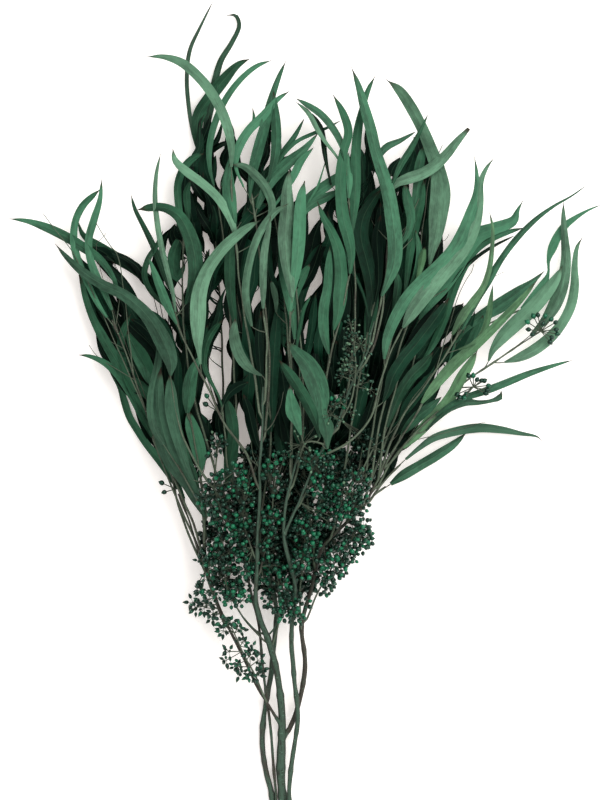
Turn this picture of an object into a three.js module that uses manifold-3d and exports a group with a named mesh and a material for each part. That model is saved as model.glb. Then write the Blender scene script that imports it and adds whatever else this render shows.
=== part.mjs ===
// Bunch of dried eucalyptus, lying flat: cut stems, leafy sprays and seed heads.
// Millimetres, +Z up, +Y from the cut stem ends towards the leaf tips.
// The origin is on the surface, under the middle of the bunch.
import * as THREE from "three";
import { mergeVertices } from "three/addons/utils/BufferGeometryUtils.js";
import Module from "manifold-3d";

const wasm = await Module();
wasm.setup();

// Driving dimensions
const LAYERS = 14; // levels that the leaves are stacked in
const EDGE_HEIGHT = 20; // height of the pile at its far edges
const MIDDLE_HEIGHT = 62; // how much higher the pile is at its middle
const MIDDLE_Y = 40; // where along the bunch the pile is highest
const SPREAD_X = 150; // how wide the pile is
const SPREAD_Y = 190; // how long the pile is
const GAP = 0.3; // clearance between touching pieces
const LEAF_THICKNESS = 1.0;
const TWIG_RADIUS = 1.05;
const TWIG_TIP_RADIUS = 0.75;
const PETIOLE_WIDTH = 1.4;
const LEAST_WIDTH = 0.8; // a leaf's width at its tip
const HEAD_RADIUS = 5.6; // one head of seed capsules
const SEED_STALK_RADIUS = 0.9;
const RAY_RADIUS = 0.55;
const PETIOLE_LENGTH = 7;
const LEAVING_LENGTH = 9; // how far a twig runs beside the stem that it leaves
const SPRAY_LIFT = 0.4; // a spray's middle above its level
const BLADE_LIFT = 1.7; // a blade's base above the middle of its twig
const SETTLE_LENGTH = 30; // how far from its base a blade reaches its own level
const LEAF_STEP = 30;
const TWIG_STEP = 26;
const TWIG_SIDES = 4;
const STEM_SIDES = 6;
const RAY_SIDES = 3;
const LEAST_STEPS = 3; // lengths that a leaf is made of, at least and at most
const MOST_STEPS = 5;
const LEAF_STAGGER = 0.25; // how far leaves of one spray differ in level
const REACHING_SHARE = 0.25; // how far a long twig rises towards its level
const UNDERSIDE_SHARE = 0.35; // share of a leaf's thickness that is under its middle
const RIDGE_TO_UNDERSIDE = 1.8; // height of the midrib against that
const FULL_WIDTH = 10; // a leaf this wide has its full thickness
const LEAST_THICKNESS_SHARE = 0.5;
const FIRST_JOINT = 0.02; // nearest to a twig's start that a leaf joins it, as a share of it
const RAY_SLANT = 0.05; // how far before its head a ray leaves its stalk
const FIRST_RAY = 0.06; // nearest to a stalk's start that a ray leaves it
const KNOB_SIZE = 0.14; // how much a head's knobs stand out
const KNOB_TURN = 2.4; // angles that make the knobs of heads differ
const HEAD_TURN = 1.3;
const HEAD_TILT = 1.7;
const PLACES_ALONG = 100; // places that are tried for the nearest point of a line
const ALMOST_ALL = 0.9999; // share of a line that stays inside its last length
const UPRIGHT_LIMIT = 0.05; // a line steeper than this has no side of its own
const WELD = 1e-4;
const BARK_ROUGHNESS = 0.75;
const LEAF_ROUGHNESS = 0.55;
const SEED_ROUGHNESS = 0.4;

// Colours
const TONES = {
  pale: 0x7da582,
  fresh: 0x5f9270,
  mid: 0x46785a,
  olive: 0x49694f,
  deep: 0x2b5140,
  dark: 0x1c3428,
  bark: 0x5a5f50,
  green_bark: 0x4f6b58,
  seed: 0x1f5a43,
};

// Stems: x, y, z of the middle line from the cut end up, and the radius
const STEMS = {
  stem_centre: {
    tone: "green_bark",
    line: [
      -18, -340, 3.4, 3.9, -18.5, -322, 3.4, 3.9, -19, -306, 3.6, 3.8, -20, -290, 4.2, 3.7,
      -20, -272, 5.5, 3.7, -19.8, -256, 7, 3.6, -19.5, -240, 9, 3.2, -20.5, -224, 12, 2.9,
      -23, -208, 16, 2.8, -27, -192, 20, 2.7, -31, -178, 24, 2.7, -36, -164, 29, 2.4,
      -40, -148, 35, 2, -40, -130, 42, 1.8, -39, -112, 49, 1.6, -38.5, -94, 54, 1.4,
      -37.5, -76, 58, 1.3, -37, -58, 61, 1.3, -37, -42, 63, 1.2, -35.5, -26, 66, 1.1,
      -34.6, -8, 68, 1, -34.8, 12, 69, 1, -34, 24, 69, 0.9,
    ],
    stubs: [
      [-19.9, -262, 6.6, -13.6, -252.6, 7, 2],
      [-19.6, -250, 8.4, -24.3, -242.6, 11, 1.5],
    ],
  },
  stem_left: {
    tone: "green_bark",
    line: [
      -26.7, -338, 2, 2.3, -27.3, -322, 2, 2.3, -28, -306, 2, 2.3, -32, -290, 2, 2.3,
      -34.6, -272, 2, 2.3, -35, -256, 3, 2.3, -33.6, -238, 4, 2.2, -31, -222, 5, 2.2,
      -28, -208, 6, 2.2, -26.5, -194, 7, 2.2, -25, -176, 10, 2.1, -24, -158, 14, 2,
      -27, -138, 19, 1.9, -33, -116, 22, 1.8, -41, -94, 25, 1.7, -50, -72, 27, 1.6,
      -58, -50, 28, 1.5, -61, -40, 28, 1.3,
    ],
    stubs: [],
  },
  stem_slender: {
    tone: "bark",
    line: [
      -23.5, -337, 4.4, 1.2, -24, -322, 4.4, 1.2, -24.6, -306, 4.6, 1.2, -25.8, -290, 5, 1.2,
      -26.6, -274, 6.4, 1.2, -27.8, -258, 7.5, 1.2, -30, -242, 9.5, 1.2, -32, -228, 11, 1.2,
      -33.5, -212, 13, 1.2, -35, -198, 15, 1.2, -36.5, -182, 18, 1.1, -39, -164, 23, 1.1,
      -43, -145, 30, 1.1, -47, -125, 36, 1.1, -53, -104, 40, 1.1, -59, -84, 43, 1.1,
      -65, -64, 45, 1.1, -70, -46, 46, 1,
    ],
    stubs: [],
  },
  stem_right: {
    tone: "green_bark",
    line: [
      -11, -338, 3, 2, -12.3, -322, 5.5, 2, -13.8, -306, 8.6, 2, -12.4, -290, 9, 2,
      -10.5, -275, 9, 2, -8.6, -260, 10, 2, -7, -245, 12, 2, -7.2, -230, 13.5, 2,
      -8.8, -215, 15, 2, -10.2, -200, 17, 2, -12, -184, 20, 2, -11.5, -168, 25, 2,
      -9.5, -152, 31, 2, -8.5, -138, 37, 1.9, -11, -124, 43, 1.8, -15, -110, 49, 1.7,
      -17.5, -95, 54, 1.5, -17, -80, 58, 1.3, -15.5, -65, 61, 1.2, -12, -50, 64, 1.1,
      -8, -36, 66, 1, -4, -24, 67, 0.9,
    ],
    stubs: [[-17.4, -93.5, 54.5, -13.6, -84.8, 56.2, 1.3]],
  },
  branch_right: {
    tone: "bark",
    line: [
      -13.1, -251.9, 7, 2, -9.6, -244, 6.2, 2, -6.8, -236, 5.8, 2, -4, -226, 5.8, 2,
      -2, -214, 6.4, 2, -1, -202, 7.4, 2, -1.6, -190, 9, 2, -3, -178, 12, 1.9,
      -3.2, -168, 15, 1.9, -1.2, -158, 18, 1.8, 2, -146, 21, 1.7, 6, -130, 24, 1.6,
      10, -113, 27, 1.5, 16, -101, 29, 1.4, 24, -93, 31, 1.3, 32, -85, 33, 1.3,
      40, -77, 34, 1.2, 48, -68, 34, 1.2, 54, -57, 34, 1.2, 60, -46, 33, 1.1,
      66, -35, 32, 1, 72, -25, 31, 0.9,
    ],
    stubs: [],
  },
  branch_low_left: {
    tone: "bark",
    line: [
      -24.5, -242.2, 11.2, 1.4, -28, -236.6, 13, 1.3, -32, -229.5, 15.4, 1.2, -37, -221, 17, 1.2,
      -42, -211, 17.5, 1.2, -48, -199, 17.5, 1.2, -54, -187, 17.5, 1.2, -61, -173, 17.5, 1.2,
      -68, -157, 18, 1.2, -75, -139, 21, 1.2, -80, -120, 25, 1.2, -81.5, -102, 30, 1.2,
      -81.5, -84, 34, 1.2, -84, -66, 35.5, 1.1,
    ],
    stubs: [],
  },
  branch_upper_right: {
    tone: "green_bark",
    line: [
      -13.4, -84.3, 56.3, 1.3, -10, -77, 57.8, 1.3, -6, -69, 59.5, 1.2, -2, -58, 61.5, 1.1,
      2, -48, 63, 1.1, 7, -36, 64.5, 1, 13, -26, 66, 1, 20, -15, 68, 1,
      25, -5, 69, 1, 28.5, 6, 69.5, 1, 33, 19, 70, 1, 39, 32, 70, 1,
      45, 44, 69, 1, 49.5, 54, 68, 0.9, 51, 66, 66.5, 0.9, 54, 76, 65, 0.9,
    ],
    stubs: [],
  },
};

// Sprays: the level, the stem and the place that the twig leaves it from, the twig as x, y
// points, and each leaf as x, y, width from its tip to its base. A lower leaf starts with its level
const SPRAYS = {
  leaves_left_mint: {
    tone: "pale", level: 12, from: ["stem_centre", -52, -70],
    twig: [-52, -22, -64, -7, -82, 33, -94, 53, -101, 71, -107, 92],
    leaves: [
      [-36, 157, 1, -45, 152, 5, -57, 143, 8, -69, 131, 9, -79, 116, 10, -85, 98, 12,
        -86, 80, 12.5, -86, 64, 9, -85, 52, 4, -84, 42, 2],
      [-135, 166, 2, -127, 167.5, 6, -115, 168, 7, -103, 162, 9, -95, 150, 11, -90, 135, 12,
        -88, 118, 12, -91, 103, 8, -96, 90, 2],
      [-116.5, 212, 0.8, -120, 195, 3, -121, 175, 4, -119, 155, 4.5, -116, 138, 4.5,
        -111, 118, 4, -106, 98, 3, -104, 84, 1.5],
      [-126, 128, 1, -121, 115, 5, -116, 102, 7, -111, 90, 7, -106, 80, 4, -103, 74, 1.5],
    ],
  },
  leaves_left_olive: {
    tone: "olive", level: 11, from: ["stem_slender", -66, -90],
    twig: [-84, -44, -92, -30, -99, -12, -104, 5, -107, 26],
    leaves: [
      [-202, 139.5, 1, -193, 129, 4, -180, 117, 7, -165, 107, 8, -145, 97, 9, -127, 81, 11,
        -114, 60, 14, -108, 45, 11, -108, 33, 2],
      [-109, 34, 2, -108, 20, 9, -107, 5, 11, -104, -10, 10, -100, -25, 8, -95, -40, 5,
        -90, -50, 2],
    ],
  },
  leaves_left_broad: {
    tone: "olive", level: 9.8, from: ["branch_low_left", -100, 0],
    twig: [-83, -76, -89, -64, -95, -52, -103, -38],
    leaves: [
      [-116, 40, 2, -118, 25, 8, -118, 8, 12, -115, -8, 16, -110, -25, 18, -103, -39, 16,
        -95, -52, 12, -89, -64, 9, -84, -74, 5, -81, -80, 2],
      [-119, 62, 1, -118, 48, 5, -120, 34, 7, -123, 20, 7, -124, 4, 7, -121, -10, 6,
        -114, -22, 3],
    ],
  },
  leaves_left_fresh: {
    tone: "fresh", level: 8.2, from: ["branch_low_left", -80, 75],
    twig: [-86, -40, -89, -18, -94, 0, -96, 12],
    leaves: [
      [-84, 50, 1, -90, 38, 8, -93, 26, 11, -94, 14, 10, -95, 3, 3],
      [-94, 4, 3, -92, -6, 10, -88, -18, 12, -85, -30, 11, -84, -40, 5, -85, -47, 1.5],
      [-100, -8, 1, -98, -20, 3, -94, -34, 4, -89, -46, 4, -86, -58, 2],
    ],
  },
  leaves_left_arching: {
    tone: "mid", level: 7.8, from: ["stem_left", -80, 0],
    twig: [-58, -58, -62, -46, -64, -25, -66, 0, -68, 12],
    leaves: [
      [-66, 78, 1, -72, 72, 4, -78, 63, 6, -81, 52, 5, -81, 40, 4, -76, 28, 3, -70, 17, 2,
        -67, 8, 1.5],
      [-64, 16, 2, -60, 2, 9, -58, -14, 9, -60, -30, 11, -62, -44, 8, -64, -56, 1.5],
      [-46, 28, 1, -55, 24, 8, -62, 18, 6, -66, 10, 2],
    ],
  },
  leaves_far_left_upper: {
    tone: "mid", level: 8, from: ["branch_low_left", -110, -70],
    twig: [-94, -78, -104, -54, -114, -32, -123, -10, -132, 14, -140, 38, -148, 60, -156, 78],
    leaves: [
      [-240, 160, 1, -225, 158, 4, -210, 153, 7, -195, 146, 8, -180, 137, 8, -165, 126, 6,
        -155, 112, 4, -150, 98, 2],
      [-165, 184, 1, -172, 178, 4, -180, 170, 5.5, -186, 157, 5.5, -187, 140, 6, -183, 124, 6,
        -176, 108, 5, -168, 92, 4, -160, 80, 2],
      [-164.5, 192, 1, -166, 175, 4, -171, 158, 6, -175, 143, 6, -174, 128, 6, -168, 112, 6,
        -162, 100, 5, -156, 86, 2],
    ],
  },
  leaves_far_left_lower: {
    tone: "mid", level: 6.2, from: ["branch_low_left", -118, -100],
    twig: [-94, -90, -103, -68, -112, -46, -120, -26, -125, -10],
    leaves: [
      [-141, 83, 1, -146, 72, 5, -149, 60, 6, -148, 46, 6, -144, 32, 6, -137, 16, 5,
        -129, 2, 4, -123, -10, 2],
      [-184, 50, 1, -175, 49, 3, -163, 44, 5, -151, 34, 7, -141, 18, 6, -131, -2, 5,
        -124, -16, 2],
      [-182, 115, 3, -178, 97, 5, -172, 80, 6, -163, 63, 8, -152, 44, 9, -143, 26, 7,
        -132, 5, 5, -125, -10, 2],
    ],
  },
  leaves_far_left_teal: {
    tone: "fresh", level: 4.6, from: ["branch_low_left", -122, -80],
    twig: [-94, -98, -103, -70, -110, -40, -116, -10, -121, 12, -123, 24],
    leaves: [
      [-144, 70, 1, -139, 60, 8, -134, 50, 12, -129, 40, 12, -126, 31, 8, -123, 24, 2],
      [-140, 32, 2, -133, 24, 9, -125, 16, 8, -119, 6, 2],
      [-141, 79, 1, -133, 74, 8, -125, 66, 9, -119, 56, 6, -117, 44, 2],
    ],
    lower: [
      [5, -145, 69, 2, -139, 58, 9, -133, 48, 13, -128, 38, 12, -123, 30, 6,
        -119, 25, 2],
      [5, -146, 78, 2, -138, 70, 8, -129, 62, 11, -121, 52, 10, -118, 40, 5,
        -118, 30, 2],
    ],
  },
  leaves_left_shadow: {
    tone: "dark", level: 0.6, from: ["branch_low_left", -96, 160],
    twig: [-86, -62, -94, -34, -101, 0, -106, 30, -113, 55, -124, 74],
    leaves: [
      [-185, 160, 1, -181, 148, 4, -168, 138, 8, -152, 128, 9, -136, 118, 9, -122, 104, 8,
        -112, 90, 5, -108, 76, 2],
      [-176, 140, 1, -168, 128, 6, -157, 117, 9, -147, 106, 9, -139, 94, 7, -133, 82, 2],
      [-160, 104, 1, -157, 95, 5, -152, 87, 5, -145, 80, 2],
    ],
  },
  leaves_left_low: {
    tone: "deep", level: 0, from: ["branch_low_left", -142, 180], reach: 80,
    twig: [-88, -108, -92, -90, -98, -74, -103, -62],
    leaves: [
      [-160, 38, 1, -151, 24, 4, -147, 12, 6, -143, 0, 6, -137, -10, 6, -129, -22, 6,
        -119, -34, 7, -109, -47, 7, -103, -58, 3],
      [-117, -5, 1, -113, -25, 4, -108, -40, 5, -103, -54, 4, -98, -66, 2],
    ],
  },
  leaves_left_inner: {
    tone: "mid", level: 6.8, from: ["stem_slender", -56, -120],
    twig: [-78, -24, -86, 0, -92, 28, -97, 60, -99, 95, -99, 125, -98, 146],
    leaves: [
      [-141, 179, 1, -138, 168, 3, -131, 154, 4, -124, 140, 5, -118, 126, 5, -113, 112, 4,
        -108, 100, 2],
      [-82, 212, 1, -90, 209, 5, -98, 201, 6, -103, 188, 6, -103, 175, 6, -101, 160, 5,
        -99, 148, 3],
      [-93, 190, 2, -96, 180, 6, -95, 168, 5, -94, 157, 2],
      [-115, 150, 1, -120, 138, 4, -127, 127, 5, -130, 114, 5, -124, 100, 4, -112, 88, 2],
    ],
    lower: [
      [7.4, -97, 122, 2, -104, 112, 8, -106, 130, 10, -102, 142, 6],
    ],
  },
  leaves_top_left_dark: {
    tone: "deep", level: 1.2, from: ["stem_left", -54, -90],
    twig: [-66, -10, -67, 20, -68, 60, -70, 100, -73, 140, -77, 180, -82, 206],
    leaves: [
      [-74.5, 338, 0.8, -86, 315, 2.5, -94, 297, 3.5, -96.5, 275, 3.5, -95, 252, 3.5,
        -91, 228, 3, -84, 207, 3, -77, 185, 1.5],
      [-64.5, 325, 1, -57, 325, 3, -54, 317, 3.5, -60, 303, 4, -69, 288, 5, -74, 270, 6,
        -77, 254, 7, -80, 238, 6, -83, 222, 3],
      [-45, 290, 1, -55, 285, 5, -67, 272, 9, -78, 258, 10, -87, 243, 10, -88, 228, 8,
        -84, 212, 3],
    ],
    lower: [
      [8.6, -63, 221, 3, -71, 218, 5, -79, 213, 5, -86, 208, 3],
    ],
  },
  leaves_top_left_grey: {
    tone: "mid", level: 6, from: ["stem_left", -66, 60],
    twig: [-57, -28, -56, 0, -58, 40, -61, 80, -64, 120, -68, 155, -72, 180],
    leaves: [
      [-27, 288, 1, -40, 283, 4, -54, 271, 5, -66, 254, 5.5, -74, 235, 5.5, -78, 215, 5,
        -77, 198, 3, -74, 186, 1.5],
      [-43, 249, 1, -42, 240, 2.5, -46, 230, 3, -54, 221, 3, -62, 205, 2.5, -68, 186, 1.5],
    ],
    lower: [
      [7.5, -60, 146, 3, -61, 128, 8, -61, 112, 8.5, -60, 96, 7, -58, 82, 5,
        -56, 70, 2],
    ],
  },
  leaves_top_pale: {
    tone: "pale", level: 10.8, from: ["stem_centre", 4, -100],
    twig: [-42, 38, -47, 70, -52, 100, -55, 130, -58, 160, -60, 190],
    leaves: [
      [-129, 290, 1, -115, 290, 4, -100, 285, 7, -85, 272, 8, -72, 254, 8, -64, 236, 8,
        -60, 218, 6, -59.5, 200, 2],
      [-60, 202, 1, -50, 201, 5, -40, 193, 7, -31, 181, 7, -27, 168, 6, -31, 155, 3,
        -40, 140, 2],
      [-107, 216, 1, -105, 206, 5, -96, 197, 7, -84, 188, 7, -72, 177, 7, -63, 164, 7,
        -58, 152, 5, -56, 142, 2],
      [-61, 203, 2, -62, 188, 9, -61, 174, 11, -58, 162, 6, -57, 150, 2],
    ],
    lower: [
      [7.2, -31, 171, 2, -38, 168, 6, -46, 161, 7, -54, 151, 4],
      [6.6, -12, 207, 8, -25, 199, 12, -35, 186, 12, -43, 173, 9, -50, 160, 4],
    ],
  },
  leaves_centre_bright: {
    tone: "fresh", level: 12.4, from: ["stem_centre", 14, 80],
    twig: [-31.5, 36, -31, 52, -31.5, 68, -34, 84],
    leaves: [
      [-14, 170, 1, -25, 163, 5, -35, 150, 6, -42, 134, 6, -46, 118, 6, -48, 100, 6,
        -46, 84, 5, -43, 72, 2],
      [-28, 160, 1, -30, 148, 4, -33, 132, 6, -34, 115, 6, -34, 100, 5, -34, 86, 2],
      [-56, 78, 2, -57, 65, 8, -54, 52, 9, -48, 42, 8, -41, 36, 4, -35, 33, 1.5],
    ],
  },
  leaves_top_centre: {
    tone: "mid", level: 9.6, from: ["stem_centre", -15, 110],
    twig: [-30, 16, -29, 44, -32, 80, -36, 120, -40, 155, -44, 180],
    leaves: [
      [-16, 287, 1, -22, 273, 4, -28, 255, 6, -33, 234, 8, -38, 216, 9, -42, 200, 8,
        -44, 186, 4, -45, 175, 1.5],
      [-13, 262, 1, -23, 255, 4, -35, 241, 7, -46, 230, 7, -54, 216, 7, -56, 200, 3,
        -50, 184, 1.5],
      [-26, 262, 1, -25, 248, 6, -24, 234, 8, -24, 218, 8, -26, 203, 6, -30, 188, 2],
      [10, 228, 1, -2, 214, 6, -14, 204, 9, -25, 193, 9, -33, 181, 7, -39, 167, 3],
      [6, 216, 1, -4, 205, 6, -10, 193, 6, -17, 180, 3, -26, 168, 2],
    ],
    lower: [
      [7, -44, 197, 2, -45, 188, 5, -45, 178, 5, -47, 168, 2],
    ],
  },
  leaves_centre_broad: {
    tone: "fresh", level: 10.6, from: ["stem_right", -44, -70],
    twig: [-12, -16, -11, 15, -12, 45, -13, 70, -12, 92],
    leaves: [
      [-13, 198, 2, -15, 182, 8, -15, 165, 11, -17, 145, 11, -16, 128, 10, -13, 110, 8,
        -11, 95, 3],
      [-1, 189, 2, -4, 174, 8, -5, 155, 10, -6, 135, 10, -8, 117, 8, -11, 100, 5,
        -13, 84, 3],
      [4, 97, 1, -2, 85, 3, -5, 70, 3, -8, 54, 1.5],
    ],
    lower: [
      [8.5, -18, 140, 6, -17, 122, 11, -15, 106, 10, -12, 90, 8, -10, 76, 5,
        -9, 62, 2],
      [8, 3, 122, 2, -2, 114, 7, -6, 105, 7, -8, 96, 4, -9, 88, 1.5],
    ],
  },
  leaves_centre_deep: {
    tone: "deep", level: 6, from: ["stem_centre", -84, 150],
    twig: [-32, -55, -29, -30, -28, -8, -30, 15],
    leaves: [
      [-22, 95, 1, -24, 70, 8, -26, 45, 9, -27, 22, 8, -27, 0, 5, -28, -12, 1.5],
      [-36, 85, 1, -38, 65, 6, -37, 45, 6, -35, 25, 3, -32, 8, 2],
      [-50, 18, 2, -46, 5, 8, -43, -8, 7, -39, -22, 4, -32, -34, 2],
    ],
    lower: [
      [5.5, -21, 52, 3, -24, 36, 9, -27, 20, 11, -27, 8, 7, -25, -3, 2],
    ],
  },
  leaves_centre_shadow: {
    tone: "dark", level: 3.4, from: ["stem_left", -98, 70],
    twig: [-37, -70, -37, -40, -39, -10, -43, 30, -50, 65, -56, 100, -60, 132],
    leaves: [
      [-55, 112, 1, -62, 98, 6, -62, 85, 8, -59, 72, 3],
      [-52, 92, 1, -48, 74, 6, -45, 56, 7, -43, 40, 5, -42, 26, 2],
      [-30, 172, 1, -40, 165, 6, -52, 154, 7, -60, 142, 3],
    ],
    lower: [
      [4.2, -48, 12, 2, -46, 0, 7, -42, -14, 8, -40, -28, 4],
    ],
  },
  leaves_centre_arc: {
    tone: "deep", level: 7.3, from: ["stem_right", -62, 150],
    twig: [-12, -36, -11, 0, -13, 40, -16, 80, -19, 120, -25, 160, -31, 184],
    leaves: [
      [-1.5, 240, 1, -9, 226, 4, -19, 212, 5, -29, 198, 4, -34, 186, 2],
      [28, 238.5, 0.8, 18, 233, 2, 6, 228, 3, -8, 221, 3, -20, 208, 2.5, -28, 192, 1.5],
    ],
    lower: [
      [6.5, -28, 109, 2, -25.5, 101, 5, -24, 93, 4, -24, 84, 1.5],
    ],
  },
  leaves_front_centre: {
    tone: "mid", level: 13.2, from: ["stem_right", -33, 40],
    twig: [2, -19, 10, -19, 17, -22],
    leaves: [
      [-14, 60, 2, -8, 52, 8, 1, 42, 14, 8, 28, 17, 12, 14, 13, 13, 3, 7, 16, -8, 12,
        17, -18, 5, 17, -25, 1.5],
      [-21, 45, 1.5, -13, 34, 8, -5, 22, 9, 3, 8, 9, 8, -4, 6, 11, -16, 2],
      [-13, 24, 1.5, -12, 14, 8, -10, 4, 12, -7, -4, 7, -4, -14, 1.5],
    ],
    heads: [0, -34, 13.8],
  },
  leaves_long_centre: {
    tone: "mid", level: 13, from: ["branch_upper_right", 60, 90],
    twig: [58, 84, 60, 95],
    leaves: [
      [36, 282, 1, 42, 266, 5, 47, 248, 8, 52, 230, 9, 56, 212, 9, 61, 196, 10, 66, 178, 11,
        69, 158, 12, 71, 140, 12, 70, 122, 11, 65, 107, 6, 60, 96, 2],
    ],
  },
  leaves_mid_upright: {
    tone: "mid", level: 11.3, from: ["branch_upper_right", -20, -100],
    twig: [16, 8, 16, 28, 18, 46, 24, 66, 30, 90, 34, 112],
    leaves: [
      [21, 260, 1, 30, 243, 6, 34, 228, 7, 30, 212, 7, 28, 195, 9, 28, 175, 9, 30, 158, 10,
        34, 142, 9, 36, 128, 6, 35, 114, 2],
      [9, 172, 1, 14, 159, 5, 21, 146, 7, 26, 132, 9, 28, 112, 10, 27, 95, 11, 25, 80, 7,
        22, 69, 1.5],
      [19, 136, 1, 18, 120, 6, 17, 103, 7, 14, 86, 8, 14, 70, 8, 16, 58, 5, 18, 50, 1.5],
    ],
  },
  leaves_mid_back: {
    tone: "mid", level: 9.6, from: ["branch_upper_right", -8, 120],
    twig: [32, 14, 36, 44, 39, 76, 39, 110, 37, 145, 34, 175, 32, 198],
    leaves: [
      [56, 275, 1, 50, 263, 4, 46, 250, 5, 42, 232, 7, 40, 212, 8, 40, 192, 8, 39, 174, 8,
        38, 160, 5, 37, 148, 2],
      [-8, 256, 1, 2, 250, 5, 12, 243, 6, 22, 231, 6, 29, 217, 5, 32, 203, 2],
      [-8, 253, 1, 2, 244, 4, 9, 231, 4, 16, 220, 3, 25, 208, 2, 31, 196, 1.5],
      [34, 212, 1, 34, 200, 5, 35, 188, 5, 34, 175, 2],
    ],
  },
  leaves_mid_shade: {
    tone: "deep", level: 6.8, from: ["branch_right", -97, 0],
    twig: [27, -74, 30, -50, 35, -15, 41, 20, 46, 50, 50, 70, 54, 90],
    leaves: [
      [61, 184, 1, 53, 173, 7, 46, 160, 11, 44, 145, 12, 48, 128, 12, 52, 110, 11, 53, 95, 9,
        51, 82, 6, 49, 68, 2],
      [60, 162, 2, 57, 145, 8, 58, 125, 8, 58, 108, 5, 55, 92, 2],
      [17, 165, 1, 20, 154, 4, 26, 140, 4, 36, 120, 3, 46, 98, 2, 50, 80, 1.5],
    ],
    lower: [
      [5.2, 57, 104, 3, 54, 94, 9, 52, 82, 10, 50, 70, 7, 49, 58, 3],
      [4.4, 50, 28, 3, 45, 16, 9, 42, 2, 9, 40, -12, 5, 38, -24, 2],
    ],
  },
  leaves_mid_shadow: {
    tone: "dark", level: 0.3, from: ["branch_right", -106, 170],
    twig: [22, -80, 23, -50, 25, -10, 29, 30, 37, 70, 47, 105, 55, 132],
    leaves: [
      [45, 213, 2, 49, 198, 9, 52, 182, 10, 54, 166, 9, 55, 150, 6, 55, 136, 2],
      [55, 52, 2, 50, 32, 8, 45, 12, 9, 38, -8, 6, 27, -26, 2],
      [38, 34, 2, 36, 14, 6, 31, -4, 7, 26, -24, 2],
    ],
    lower: [
      [4, 24, 58, 4, 22, 44, 10, 24, 30, 10, 26, 18, 6],
      [5.5, 60, 185, 3, 54, 176, 9, 48, 166, 10, 44, 155, 7, 41, 145, 3],
      [5, 60, 170, 3, 60, 155, 9, 59, 140, 10, 58, 125, 8, 57, 112, 3],
    ],
  },
  leaves_cross_left: {
    tone: "fresh", level: 8.4, from: ["stem_right", -54, 110],
    twig: [-5, -34, -2, 0, -3, 40, -6, 80, -9, 115, -12, 138],
    leaves: [
      [31, 199, 1, 22, 190, 8, 10, 181, 9, -2, 170, 8, -10, 156, 6, -13, 142, 2],
      [27, 182, 2, 16, 176, 7, 4, 170, 7, -5, 160, 5, -10, 146, 2],
      [16, 206, 0.8, 13, 196, 1.2, 9, 184, 2, 2, 172, 1.5, -6, 156, 1.2],
    ],
  },
  leaves_cross_shadow: {
    tone: "dark", level: 4.6, from: ["branch_right", -118, -60],
    twig: [5, -94, 0, -60, -3, -20, -5, 20, -5, 60, -4, 84],
    leaves: [
      [18, 143, 1, 8, 130, 9, 2, 115, 9, -2, 100, 6, -4, 86, 2],
      [8, 100, 1, 6, 84, 6, 4, 66, 7, 0, 48, 5, -4, 32, 2],
    ],
  },
  leaves_right_front: {
    tone: "fresh", level: 12, from: ["branch_upper_right", -30, 110],
    twig: [28, -22, 39, -17, 47, -9, 52, 3, 56, 16, 60, 32, 64, 44, 70, 58, 76, 70],
    leaves: [
      [135, 211, 1, 137, 196, 3, 137, 180, 6, 132, 163, 9, 126, 147, 11, 117, 132, 11,
        105, 119, 11, 92, 107, 11, 80, 94, 10, 70, 77, 9, 64, 61, 7, 62, 46, 2],
      [152, 209, 1, 145, 200, 3, 140, 188, 5, 139, 172, 7, 135, 154, 10, 127, 137, 12,
        115, 121, 12, 103, 107, 12, 92, 94, 12, 83, 81, 9, 77, 71, 2],
      [114, 95, 2, 106, 82, 8, 97, 70, 10, 87, 57, 10, 77, 45, 10, 69, 32, 10, 65, 20, 6,
        61, 12, 1.5],
    ],
  },
  leaves_right_rim: {
    tone: "fresh", level: 5.8, from: ["branch_right", -54, 90],
    twig: [76, -24, 92, -8, 105, 8, 120, 21, 130, 30, 140, 37, 158, 48, 172, 58],
    leaves: [
      [208, 174, 0.8, 208, 160, 4, 209, 145, 6, 210, 128, 8, 208, 112, 10, 204, 98, 11,
        199, 87, 10, 191, 76, 6, 181, 66, 2],
      [224, 146, 0.8, 219, 137, 3, 217, 122, 5, 217, 106, 7, 214, 90, 8, 207, 76, 8,
        197, 64, 9, 184, 54, 9, 172, 48, 7, 160, 44, 1.5],
      [207, 122, 1, 201, 110, 8, 192, 98, 11, 181, 86, 12, 169, 75, 12, 158, 64, 10,
        150, 53, 5, 147, 45, 1.5],
    ],
    heads: [
      135, 27, 10.6, 141, 24, 10.8, 184, 74, 10, 194, 77, 10, 198, 69, 10,
      187, 67, 9.6,
    ],
  },
  leaves_right_long: {
    tone: "pale", level: 11.8, from: ["branch_right", -36, -20],
    twig: [78, -12, 85, -3, 90, 5, 94, 13],
    leaves: [
      [186, 110, 1, 176, 98, 4, 163, 84, 6, 149, 70, 7, 134, 56, 8, 120, 44, 9, 107, 30, 8,
        98, 19, 6, 92, 11, 2],
      [108, 16, 1, 99, 8, 7, 90, 1, 9, 82, -7, 7, 76, -14, 2],
    ],
  },
  leaves_right_dark: {
    tone: "deep", level: 3.8, from: ["branch_right", -56, 150],
    twig: [70, -36, 85, -14, 99, 12, 109, 30, 117, 46, 124, 60, 140, 71, 158, 80, 172, 86],
    leaves: [
      [193, 118, 1, 184, 110, 4, 172, 101, 9, 160, 92, 12, 150, 86, 11, 138, 79, 8,
        128, 71, 6, 121, 60, 2],
      [240, 172, 0.8, 228, 167, 2, 218, 161, 4, 209, 154, 6, 203, 145, 7, 199, 136, 7,
        196, 126, 3, 196, 117, 2, 192, 107, 7, 184, 97, 7, 174, 87, 3],
      [143, 82, 2, 139, 71, 8, 134, 60, 10, 128, 50, 8, 121, 40, 2],
      [127, 75, 2, 125, 63, 7, 120, 50, 7, 113, 36, 2],
      [73, -22, 2, 71, -31, 7, 68, -39, 8, 64, -47, 5, 60, -53, 2],
    ],
  },
  leaves_right_broken: {
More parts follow.
